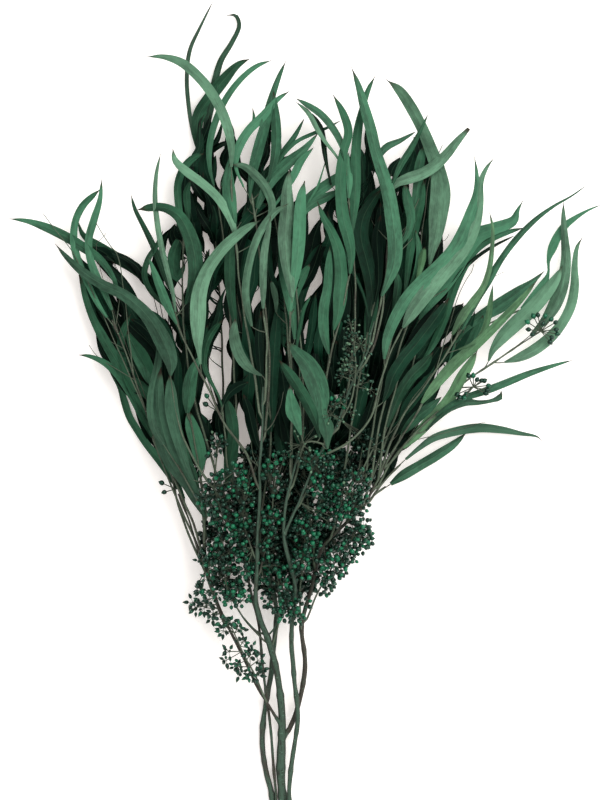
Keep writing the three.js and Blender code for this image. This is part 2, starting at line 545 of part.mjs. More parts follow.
    tone: "deep", level: 6.4, from: ["branch_right", -64, -90],
    twig: [59, -30, 69, -8, 78, 20, 87, 45, 90, 76],
    leaves: [
      [176, 176, 0.8, 171, 167, 3, 167, 158, 8, 152, 152, 10, 138, 146, 13, 127, 134, 15,
        118, 118, 14, 108, 103, 12, 98, 90, 8, 91, 78, 2],
      [178, 153, 1, 163, 149, 4, 148, 143, 6, 135, 134, 8, 125, 118, 8, 118, 100, 7,
        112, 80, 6, 104, 62, 6, 97, 50, 3, 89, 40, 2],
    ],
    lower: [
      [5.2, 96, 52, 6, 88, 40, 12, 80, 28, 13, 74, 14, 9, 68, 0, 4],
    ],
  },
  leaves_right_narrow: {
    tone: "pale", level: 9.9, from: ["branch_right", -42, -50],
    twig: [69, -14, 78, 2, 86, 13, 93, 22, 99, 31, 106, 41, 113, 52, 119, 62, 124, 70],
    leaves: [
      [228, 188, 0.8, 214, 178, 1.5, 200, 170, 2.5, 185, 159, 4, 170, 144, 5, 157, 127, 5,
        147, 110, 6, 138, 95, 5, 131, 82, 4, 125, 70, 2],
      [147.5, 165, 1, 150, 152, 2.5, 149.5, 136, 3.5, 147, 118, 4.5, 142, 104, 5,
        134, 92, 7, 125, 80, 7, 117, 66, 2.5],
      [150, 106, 0.8, 148, 92, 4, 146, 79, 5, 142, 68, 5, 134, 59, 3, 122, 54, 1.5],
    ],
    lower: [
      [4.6, 104, 20, 3, 96, 10, 8, 88, 2, 8, 80, -6, 5, 74, -14, 2],
    ],
  },
  leaves_right_light: {
    tone: "pale", level: 8, from: ["branch_right", -36, 60],
    twig: [82, -18, 94, -7, 106, 5],
    leaves: [
      [138, 54, 1, 132, 43, 7, 125, 32, 9, 118, 19, 9, 110, 8, 9, 101, -1, 9, 92, -11, 8,
        84, -20, 4, 78, -25, 1.5],
      [216, 46, 0.8, 200, 41.5, 3, 180, 35, 5, 160, 27, 6, 143, 20.5, 6, 128, 15.5, 5,
        115, 9, 4, 104, 1, 2],
      [157, 21, 1.5, 156, 16, 5, 149, 13, 3, 138, 11.5, 4, 127, 12, 7, 115, 7, 6,
        105, -2, 3, 96, -11, 1.5],
    ],
  },
  leaves_right_mid: {
    tone: "mid", level: 9, from: ["branch_right", -50, 0],
    twig: [60, -26, 63, -8, 68, 10, 73, 28, 76, 44],
    leaves: [
      [102, 52, 1, 94, 42, 9, 84, 32, 9, 76, 20, 8, 70, 6, 5, 65, -8, 2],
      [106, 90, 2, 98, 79, 8, 90, 68, 9, 83, 57, 7, 77, 46, 2],
    ],
  },
  leaves_right_low: {
    tone: "fresh", level: 0, from: ["branch_right", -76, 150], reach: 75,
    twig: [58, -60, 64, -56],
    leaves: [
      [130, -13, 1, 120, -22, 6, 106, -31, 8, 92, -39, 8, 78, -47, 8, 68, -54, 3],
    ],
  },
  leaves_right_drooping: {
    tone: "mid", level: 1.6, from: ["branch_right", -66, 100], reach: 60,
    twig: [68, -46, 76, -38],
    leaves: [
      [192, -21, 0.8, 188, -16.5, 1.5, 174, -13.5, 3.5, 158, -10.5, 6, 140, -9, 7.5,
        120, -12, 7, 103, -17, 6, 91, -25, 4, 80, -34, 2],
    ],
  },
  leaves_upper_right_pale: {
    tone: "pale", level: 9.7, from: ["branch_right", -68, -30],
    twig: [53, -38, 57, -15, 62, 10, 69, 36, 77, 62, 86, 88, 93, 106, 99, 122],
    leaves: [
      [64, 272, 1, 75, 263, 7, 84, 250, 9, 93, 233, 9, 100, 216, 10, 106, 198, 12,
        108, 180, 16, 106, 162, 15, 104, 146, 11, 101, 133, 6, 99, 122, 2],
      [95, 136, 2, 93, 127, 6, 91, 117, 4, 88, 106, 2],
    ],
    lower: [
      [5.5, 112, 84, 7, 102, 72, 12, 90, 60, 13, 80, 50, 10, 72, 40, 5,
        68, 30, 2],
      [4.8, 116, 118, 8, 104, 106, 12, 94, 94, 11, 86, 84, 7, 80, 74, 3],
    ],
  },
  leaves_upper_right_cross: {
    tone: "fresh", level: 10.9, from: ["branch_upper_right", 42, 110],
    twig: [55, 60, 59, 76, 62, 95, 64, 122, 66, 150, 66, 178],
    leaves: [
      [131, 232, 3, 122, 222, 6, 113, 211, 8, 104, 202, 9, 93, 195, 9, 82, 191, 9,
        73, 187, 6, 67, 180, 2],
      [80, 186, 2, 82, 172, 7, 84, 158, 7, 80, 144, 4, 70, 132, 2],
      [98, 243, 1, 92, 230, 3, 84, 215, 5, 76, 202, 5, 69, 186, 2],
      [88, 229, 1, 76, 222, 4, 64, 216, 6, 58, 206, 4, 62, 190, 2],
    ],
    lower: [
      [4.5, 50, 214, 4, 47, 200, 9, 47, 186, 10, 50, 172, 8, 53, 158, 4],
      [6, 74, 206, 4, 70, 200, 8, 68, 194, 5],
      [7.2, 79, 187, 2, 81, 178, 7, 83, 168, 8, 85, 158, 6, 88, 148, 2],
      [7.4, 94, 214, 5, 91, 200, 8, 90, 186, 8, 88, 172, 7, 84, 158, 3],
    ],
  },
  leaves_upper_right_deep: {
    tone: "deep", level: 7.7, from: ["branch_right", -80, 0],
    twig: [46, -56, 50, -30, 56, 5, 63, 40, 71, 72, 79, 98],
    leaves: [
      [95, 192, 1, 93, 176, 6, 89, 160, 8, 86, 145, 7, 83, 128, 6, 81, 112, 4, 79, 98, 2],
      [88, 150, 1, 91, 134, 5, 89, 118, 5, 83, 104, 2],
    ],
    lower: [
      [6.6, 72, 117, 2, 74, 108, 6, 73, 98, 6, 71, 88, 4, 69, 78, 2],
    ],
  },
};

// Seed heads: the stem and the place that the stalk leaves it from, the stalk as x, y, level
// points, and the middle of each head as x, y, level
const SEEDS = {
  seeds_low_left: {
    from: ["branch_low_left", -226, 10],
    stalk: [-42, -205, 12.6, -48, -194, 13, -54, -182, 13, -60, -168, 13],
    heads: [
      -64, -189, 9, -57, -201, 8, -45, -190, 13, -37, -194, 14, -48, -208, 12.5, -39, -206, 13.6,
      -50, -179, 13, -54, -168, 13, -62, -163, 12, -68, -172, 9,
    ],
  },
  seeds_left_tail: {
    from: ["branch_low_left", -166, -60],
    stalk: [-74, -146, 9, -80, -138, 9, -80, -128, 11],
    heads: [
      -77, -158, 7, -84, -154, 5, -91, -154, 7, -79, -147, 12, -86, -139, 8, -78, -129, 13,
      -70, -141, 13, -84, -113, 12, -76, -116, 13.5,
    ],
  },
  seeds_left_lower: {
    from: ["stem_centre", -178, -80],
    stalk: [-46, -166, 9.5, -54, -156, 10.5, -62, -140, 11, -66, -124, 11.5, -66, -106, 12],
    heads: [
      -61, -147, 13, -57, -134, 9, -52, -146, 12.5, -70, -126, 9, -62, -120, 13.5,
      -73, -106, 8.5, -60, -108, 13.5, -67, -97, 13.5, -53, -137, 12.8,
    ],
  },
  seeds_left_upper: {
    from: ["stem_slender", -92, -60],
    stalk: [-66, -78, 12, -70, -66, 12.6, -74, -54, 12.6],
    heads: [
      -72, -48, 13.6, -82, -62, 12.6, -77, -70, 13.4, -67, -62, 13.6, -60, -66, 13.4,
      -62, -80, 13, -74, -82, 12.4, -55, -42, 13.3, -70, -20, 10.4,
    ],
  },
  seeds_centre_left: {
    from: ["stem_centre", -110, -80],
    stalk: [-46, -96, 12.4, -50, -82, 12.6, -50, -68, 12.8, -49, -56, 13],
    heads: [
      -48, -52, 13.6, -47, -64, 13.8, -52, -76, 13.6, -58, -92, 13.6, -49, -90, 13.8,
      -50, -104, 13.6, -51, -114, 13.2, -49, -124, 13.4,
    ],
  },
  seeds_centre: {
    from: ["stem_centre", -124, 90],
    stalk: [-34, -108, 11.6, -29, -92, 12, -27, -74, 12.4, -26, -56, 12.8],
    heads: [
      -26, -46, 13.4, -22, -57, 13.4, -31, -78, 13.4, -24, -80, 13.6, -28, -92, 13.4,
      -30, -104, 13.4, -27, -118, 12.8, -34, -130, 11.6, -24, -34, 13,
    ],
  },
  seeds_centre_low: {
    from: ["stem_centre", -182, 80],
    stalk: [-26, -170, 9.6, -21, -160, 10, -20, -146, 10.6, -22, -132, 11],
    heads: [
      -31, -146, 10, -15, -146, 12.4, -25, -152, 13, -19, -134, 13.6, -18, -158, 13,
      -24, -122, 8.8, -14, -132, 8.4,
    ],
  },
  seeds_centre_right: {
    from: ["branch_right", -168, -20],
    stalk: [-6, -152, 8, -4, -138, 8.6, -3, -122, 9.4, -2, -106, 10, 0, -90, 10.6],
    heads: [
      -9, -161, 13.2, -2, -149, 12.2, -5, -112, 13.2, -2, -124, 13, 3, -96, 13.2, 9, -101, 9.6,
      -4, -86, 13.2, 4, -82, 12.8, 4, -112, 12.6,
    ],
  },
  seeds_right_lower: {
    from: ["branch_right", -162, 80],
    stalk: [
      5, -147, 8, 12, -137, 9, 17, -129, 9.6, 22, -120, 10.2, 27, -109, 10.8, 33, -101, 11,
      39, -94, 11.4,
    ],
    heads: [
      14, -128, 12, 20, -131, 11, 30, -121, 10.6, 17, -115, 12.8, 25, -109, 13, 35, -112, 10.4,
      33, -103, 13, 41, -103, 11.6, 43, -93, 12.8, 49, -94, 9.6, 48, -85, 12.6, 38, -88, 9,
      24, -120, 13.4,
    ],
  },
  seeds_right_upper: {
    from: ["branch_right", -90, -20],
    stalk: [33, -74, 10.6, 36, -64, 11.6, 38, -54, 12.2, 42, -46, 12.6],
    heads: [
      36, -45, 13.4, 43, -51, 13.2, 38, -61, 13.4, 29, -66, 13.4, 22, -59, 13.2, 27, -77, 13.2,
      37, -76, 13, 46, -72, 12.6, 46, -61, 12.8, 30, -52, 12.6,
    ],
  },
  seeds_centre_upper: {
    from: ["branch_upper_right", -70, 150],
    stalk: [5, -52, 10.6, 9, -46, 10.8, 12, -40, 11.2],
    heads: [
      15, -47, 13, 17, -38, 13.2, 9, -57, 13.2, 14, -66, 12.8, 10, -75, 12.6,
      19, -84, 12.8, 18, -35, 12.4, 9, -42, 9.4,
    ],
  },
  seeds_right_inner: {
    from: ["branch_upper_right", -2, 60],
    stalk: [33, 6, 13, 37, 18, 13.2, 39, 34, 13.6, 39, 46, 13.4, 38, 60, 13.2],
    heads: [
      34, 47, 13.6, 46, 27, 13, 29, 42, 13.4, 27, 33, 13.4, 36, 62, 13, 35, 76, 12.4,
      43, 58, 12.6, 37, 4, 13.4, 26, 13, 13.6,
    ],
  },
};

// Height of the pile above the surface at a place
function pileHeight(x, y) {
  const along = Math.exp(-(((y - MIDDLE_Y) / SPREAD_Y) ** 2));
  const across = Math.exp(-((x / SPREAD_X) ** 2));
  return EDGE_HEIGHT + MIDDLE_HEIGHT * along * across;
}

// Height of a level of the pile at a place
function levelHeight(x, y, level) {
  const lowest = LEAF_THICKNESS / 2;
  return lowest + ((pileHeight(x, y) - lowest) * level) / LAYERS;
}

// Smooth step from 0 to 1
function ease(t) {
  const s = Math.min(Math.max(t, 0), 1);
  return s * s * (3 - 2 * s);
}

// Rows of a flat list
function rowsOf(flat, size) {
  const rows = [];
  for (let i = 0; i < flat.length; i += size) rows.push(flat.slice(i, i + size));
  return rows;
}

// A closed solid from rings of points, capped at both ends
function loft(rings) {
  const count = rings[0].length;
  const position = [];
  const index = [];
  for (const ring of rings) for (const p of ring) position.push(p.x, p.y, p.z);
  for (let i = 0; i + 1 < rings.length; i++) {
    for (let j = 0; j < count; j++) {
      const a = i * count + j;
      const b = i * count + ((j + 1) % count);
      index.push(a, b, b + count, a, b + count, a + count);
    }
  }
  const last = (rings.length - 1) * count;
  for (let j = 1; j + 1 < count; j++) {
    index.push(0, j + 1, j, last, last + j, last + j + 1);
  }
  const geometry = new THREE.BufferGeometry();
  geometry.setAttribute("position", new THREE.Float32BufferAttribute(position, 3));
  geometry.setIndex(index);
  return geometry;
}

// Side and upward directions across a line
function frameAcross(tangent) {
  const side = new THREE.Vector3().crossVectors(tangent, new THREE.Vector3(0, 0, 1));
  if (side.length() < UPRIGHT_LIMIT) side.set(1, 0, 0);
  side.normalize();
  const up = new THREE.Vector3().crossVectors(side, tangent).normalize();
  return { side, up };
}

// A ring of points around a line
function ringAround(middle, tangent, radius, sides) {
  const { side, up } = frameAcross(tangent);
  const ring = [];
  for (let j = 0; j < sides; j++) {
    const angle = (2 * Math.PI * j) / sides;
    const across = side.clone().multiplyScalar(Math.cos(angle) * radius);
    ring.push(middle.clone().add(across).addScaledVector(up, -Math.sin(angle) * radius));
  }
  return ring;
}

// The direction of a line of points at one of them
function directionAt(points, i) {
  const before = points[Math.max(i - 1, 0)];
  const after = points[Math.min(i + 1, points.length - 1)];
  return after.clone().sub(before).normalize();
}

// A tapered rod through points, with a radius at each end
function rod(points, startRadius, endRadius, sides) {
  const rings = points.map((point, i) => {
    const radius = startRadius + ((endRadius - startRadius) * i) / (points.length - 1);
    return ringAround(point, directionAt(points, i), radius, sides);
  });
  return loft(rings);
}

// Evenly spaced points of a smooth line through a few places
function smoothPoints(places, spacing) {
  const curve = new THREE.CatmullRomCurve3(places, false, "centripetal");
  return curve.getSpacedPoints(Math.max(2, Math.round(curve.getLength() / spacing)));
}

// The place a share of the way along a line of points
function placeAlong(points, share) {
  const place = Math.min(Math.max(share, 0), ALMOST_ALL) * (points.length - 1);
  const i = Math.floor(place);
  return points[i].clone().lerp(points[i + 1], place - i);
}

// How far along a line of points the nearest place to a point is
function shareNearest(points, point, flat) {
  let best = 0;
  let nearest = Infinity;
  for (let i = 0; i <= PLACES_ALONG; i++) {
    const away = placeAlong(points, i / PLACES_ALONG).sub(point);
    if (flat) away.z = 0;
    if (away.length() < nearest) {
      nearest = away.length();
      best = i / PLACES_ALONG;
    }
  }
  return best;
}

// Where a twig or stalk leaves a stem: two points beside it
function leaveStem([name, y, degrees], radius) {
  const rows = rowsOf(STEMS[name].line, 4);
  const turn = (degrees * Math.PI) / 180;
  return [y, y + LEAVING_LENGTH].map((height) => {
    const above = rows.findIndex((row) => row[1] > height);
    const i = above < 1 ? rows.length - 1 : above;
    const [before, after] = [rows[i - 1], rows[i]];
    const share = (height - before[1]) / (after[1] - before[1]);
    const row = before.map((value, k) => value + (after[k] - value) * share);
    const tangent = new THREE.Vector3(after[0] - before[0], after[1] - before[1], after[2] - before[2]);
    const { side, up } = frameAcross(tangent.normalize());
    const away = row[3] + radius + GAP;
    const point = new THREE.Vector3(row[0], row[1], row[2]);
    point.addScaledVector(side, Math.sin(turn) * away);
    return point.addScaledVector(up, Math.cos(turn) * away);
  });
}

// A stem with the stubs of its forks
function stemSolids(stem) {
  const rows = rowsOf(stem.line, 4);
  const points = rows.map((row) => new THREE.Vector3(row[0], row[1], row[2]));
  const rings = points.map((point, i) => {
    return ringAround(point, directionAt(points, i), rows[i][3], STEM_SIDES);
  });
  const stubs = stem.stubs.map(([x, y, z, x2, y2, z2, radius]) => {
    const ends = [new THREE.Vector3(x, y, z), new THREE.Vector3(x2, y2, z2)];
    return rod(ends, radius, radius, STEM_SIDES);
  });
  return [loft(rings), ...stubs];
}

// The points of a spray's twig
function twigPoints(spray) {
  const start = leaveStem(spray.from, TWIG_RADIUS);
  const rest = rowsOf(spray.twig, 2).map(([x, y], i, all) => {
    const z = levelHeight(x, y, spray.level + SPRAY_LIFT);
    const settle = spray.reach ? ease((i + 1) / (all.length + 1)) * REACHING_SHARE : 1;
    return new THREE.Vector3(x, y, start[1].z + (z - start[1].z) * settle);
  });
  return smoothPoints([...start, ...rest], TWIG_STEP);
}

// The middle line of a leaf, from its petiole's joint to its tip
function leafMiddles(leaf, level, joint, baseHeight, reach) {
  const places = rowsOf(leaf, 3).reverse().map(([x, y, width]) => new THREE.Vector3(x, y, width));
  const curve = new THREE.CatmullRomCurve3(places, false, "centripetal");
  const length = curve.getLength();
  const steps = Math.min(MOST_STEPS, Math.max(LEAST_STEPS, Math.round(length / LEAF_STEP)));
  const middles = [{ x: joint.x, y: joint.y, z: joint.z, width: PETIOLE_WIDTH }];
  for (let i = 0; i <= steps; i++) {
    const p = curve.getPointAt(i / steps);
    const settle = ease(((i / steps) * length) / reach);
    const own = levelHeight(p.x, p.y, level);
    const z = baseHeight + (own - baseHeight) * settle;
    middles.push({ x: p.x, y: p.y, z, width: Math.max(p.z, LEAST_WIDTH) });
  }
  return middles;
}

// A leaf blade with its petiole: three-sided, with the midrib as its ridge
function leafSolid(middles) {
  const rings = middles.map(({ x, y, z, width }, i) => {
    const before = middles[Math.max(i - 1, 0)];
    const after = middles[Math.min(i + 1, middles.length - 1)];
    const along = new THREE.Vector2(after.x - before.x, after.y - before.y).normalize();
    const half = width / 2;
    const fullness = Math.min(1, LEAST_THICKNESS_SHARE + width / FULL_WIDTH);
    const under = UNDERSIDE_SHARE * LEAF_THICKNESS * fullness;
    return [
      new THREE.Vector3(x + along.y * half, y - along.x * half, z - under),
      new THREE.Vector3(x - along.y * half, y + along.x * half, z - under),
      new THREE.Vector3(x, y, z + under * RIDGE_TO_UNDERSIDE),
    ];
  });
  return loft(rings);
}

// A twig with its leaves, and with seed heads where it has them
function spraySolids(spray) {
  const twig = twigPoints(spray);
  const back = PETIOLE_LENGTH / (TWIG_STEP * (twig.length - 1));
  const upper = spray.leaves.map((leaf, i) => {
    return [spray.level + SPRAY_LIFT + LEAF_STAGGER * ((i % 3) - 1), ...leaf];
  });
  const leaves = [...upper, ...(spray.lower ?? [])].map(([level, ...leaf]) => {
    const base = rowsOf(leaf, 3).at(-1);
    const share = shareNearest(twig, new THREE.Vector3(base[0], base[1], 0), true);
    const joint = placeAlong(twig, Math.max(share - back, FIRST_JOINT));
    const baseHeight = placeAlong(twig, share).z + BLADE_LIFT;
    return leafSolid(leafMiddles(leaf, level, joint, baseHeight, spray.reach ?? SETTLE_LENGTH));
  });
  const heads = headSolids(twig, spray.heads ?? []);
  return [rod(twig, TWIG_RADIUS, TWIG_TIP_RADIUS, TWIG_SIDES), ...leaves, ...heads];
}

// A rounded knobbly head of seed capsules
function headSolid(middle, turn) {
  const ball = new THREE.IcosahedronGeometry(1, 0);
  ball.deleteAttribute("normal");
  ball.deleteAttribute("uv");
  const geometry = mergeVertices(ball, WELD);
  const position = geometry.getAttribute("position");
  for (let i = 0; i < position.count; i++) {
    const stretch = HEAD_RADIUS * (1 - KNOB_SIZE + KNOB_SIZE * Math.sin(i * KNOB_TURN + turn));
    position.setXYZ(i, position.getX(i) * stretch, position.getY(i) * stretch,
      position.getZ(i) * stretch);
  }
  geometry.rotateZ(turn);
  geometry.rotateX(turn * HEAD_TILT);
  geometry.translate(middle.x, middle.y, middle.z);
  return geometry;
}

// Seed heads on rays from a stalk
function headSolids(stalk, heads) {
  return rowsOf(heads, 3).flatMap(([x, y, level], i) => {
    const middle = new THREE.Vector3(x, y, levelHeight(x, y, level));
    const share = Math.max(shareNearest(stalk, middle, false) - RAY_SLANT, FIRST_RAY);
    const ray = rod([placeAlong(stalk, share), middle], RAY_RADIUS, RAY_RADIUS, RAY_SIDES);
    return [ray, headSolid(middle, i * HEAD_TURN + x)];
  });
}

// A stalk with its seed heads
function seedSolids(seeds) {
  const start = leaveStem(seeds.from, SEED_STALK_RADIUS);
  const rest = rowsOf(seeds.stalk, 3).map(([x, y, level]) => {
    return new THREE.Vector3(x, y, levelHeight(x, y, level));
  });
  const stalk = smoothPoints([...start, ...rest], TWIG_STEP);
  const tube = rod(stalk, SEED_STALK_RADIUS, SEED_STALK_RADIUS, TWIG_SIDES);
  return [tube, ...headSolids(stalk, seeds.heads)];
}

// Turns a closed geometry into a solid with its faces outward
function solidOf(geometry) {
  const position = geometry.getAttribute("position");
  const mesh = new wasm.Mesh({
    numProp: 3,
    vertProperties: new Float32Array(position.array),
    triVerts: new Uint32Array(geometry.getIndex().array),
  });
  return new wasm.Manifold(mesh);
}

// Joins closed geometries into one
function joined(geometries) {
  let whole = solidOf(geometries[0]);
  for (const geometry of geometries.slice(1)) whole = whole.add(solidOf(geometry));
  const mesh = whole.getMesh();
  const geometry = new THREE.BufferGeometry();
  const position = new THREE.BufferAttribute(new Float32Array(mesh.vertProperties), 3);
  geometry.setAttribute("position", position);
  geometry.setIndex(new THREE.BufferAttribute(new Uint32Array(mesh.triVerts), 1));
  geometry.computeVertexNormals();
  return geometry;
}

// A named mesh with its own material
function piece(name, geometries, tone, roughness) {
  const material = new THREE.MeshStandardMaterial({ color: TONES[tone], roughness, metalness: 0 });
  const mesh = new THREE.Mesh(joined(geometries), material);
  mesh.name = name;
  return mesh;
}

const bunch = new THREE.Group();
for (const [name, stem] of Object.entries(STEMS)) {
  bunch.add(piece(name, stemSolids(stem), stem.tone, BARK_ROUGHNESS));
}
for (const [name, spray] of Object.entries(SPRAYS)) {
  bunch.add(piece(name, spraySolids(spray), spray.tone, LEAF_ROUGHNESS));
}
for (const [name, seeds] of Object.entries(SEEDS)) {
  bunch.add(piece(name, seedSolids(seeds), "seed", SEED_ROUGHNESS));
}

export default bunch;
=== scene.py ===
"""A bunch of dried eucalyptus lying on a pale surface: stems, leafy sprays and seed umbels.

Sizes in the rows and constants are millimetres, with +Y from the cut stem ends towards the
leaf tips and +Z up from the surface. Meshes and settings are in metres.
"""

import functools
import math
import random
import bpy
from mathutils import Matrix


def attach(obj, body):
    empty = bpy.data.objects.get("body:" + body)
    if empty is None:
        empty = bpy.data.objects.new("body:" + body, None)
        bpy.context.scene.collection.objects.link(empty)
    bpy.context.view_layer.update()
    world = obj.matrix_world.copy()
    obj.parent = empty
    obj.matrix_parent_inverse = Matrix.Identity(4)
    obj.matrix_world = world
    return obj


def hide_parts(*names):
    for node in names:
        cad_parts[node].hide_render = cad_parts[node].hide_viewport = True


bl_info = {
    "name": "Dried Eucalyptus Bunch",
    "version": (1, 0, 0),
    "blender": (4, 5, 0),
    "location": "View3D > Sidebar > Eucalyptus",
    "description": "Grows the stems, leafy sprays and seed umbels of a dried eucalyptus bunch",
    "category": "Add Mesh",
}

import bpy
import numpy as np
from numpy.linalg import norm

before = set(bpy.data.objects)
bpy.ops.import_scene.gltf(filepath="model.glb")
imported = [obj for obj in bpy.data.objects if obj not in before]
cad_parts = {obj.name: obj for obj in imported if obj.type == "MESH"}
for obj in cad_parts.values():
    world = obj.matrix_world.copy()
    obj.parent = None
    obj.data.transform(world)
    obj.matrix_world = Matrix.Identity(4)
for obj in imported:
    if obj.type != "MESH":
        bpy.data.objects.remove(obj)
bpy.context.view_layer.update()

MM = 0.001  # metres in a millimetre

# The pile that the bunch makes on the surface
LAYERS = 14  # levels that the leaves are stacked in
EDGE_HEIGHT = 20  # height of the pile at its far edges
MIDDLE_HEIGHT = 62  # how much higher the pile is at its middle
MIDDLE_Y = 40  # where along the bunch the pile is highest
SPREAD_X = 150  # how wide the pile is
SPREAD_Y = 190  # how long the pile is
LOWEST = 0.5  # height of the lowest level

# How the twigs, leaves and seed stalks join
GAP = 0.3  # between a stem and a twig that leaves it
TWIG_RADIUS = 1.05
TWIG_TIP_RADIUS = 0.6
PETIOLE_RADIUS = 0.6  # of a leaf's stalk
PETIOLE_LENGTH = 7
STALK_RADIUS = 0.85  # of a stalk that bears seeds
RAY_RADIUS = 0.45  # of the ray from a stalk to an umbel
PEDICEL_RADIUS = 0.22  # of a capsule's own stalk
NARROW = 6.2  # leaves narrower than this lean more
BLUNT = 2.4  # a leaf whose first row is this wide has a blunt tip
CUT_BELOW = -330  # stems that start below this are cut, the others grow from a stub
STEM_SIDES = 14  # sides of a stem's round surface
GRAINS = 900  # each surface starts its grain somewhere up to here
TURN = 6.3  # about a whole turn, in radians
HIDDEN_CLIMB = 2.5  # how much farther a twig counts for each level that it lies higher
TURN_AWAY = 8  # how far from an opening a hidden leaf starts to turn
UMBEL_COVER = 5  # how far an umbel fills around its middle, seen from above
LOW_UMBEL_COVER = 3.7  # how far a low umbel does
LOW_UMBEL_BUDS = 10
LOW_UMBEL_ROOM = 2.8  # how far a low umbel stays off the openings
HIDDEN_ROOM = 1.6  # how far off the openings a hidden leaf may start
HIDDEN_LEAST_ROOM = 1.3  # how near to them its middle may come
HIDDEN_SETTLE = 20  # how far from its base it reaches its own level
HIDDEN_STEP = 4  # length of the steps that a hidden leaf is laid out in
NARROWEST = 3  # hidden leaves narrower than this are left out
FEWEST_STEPS = 6  # hidden leaves with fewer points than this are left out
NEIGHBOURS = 14  # places of other leaves that tell which way a hidden leaf runs
FILL_SPACING = 4  # spacing of the places that may be filled
LOWEST_UMBEL = 6  # least height of the middle of a low umbel or a smaller one
JOIN_DEPTH = 3.5  # how far a branch reaches into its stub
LEAVING_LENGTH = 9  # how far a twig runs beside the stem that it leaves
SPRAY_LIFT = 0.4  # a spray's middle above its level
BLADE_LIFT = 1.7  # a blade's base above the middle of its twig
SETTLE_LENGTH = 30  # how far from its base a blade reaches its own level
JOINT_SPACING = 26  # spacing of the places along a twig where its level is taken

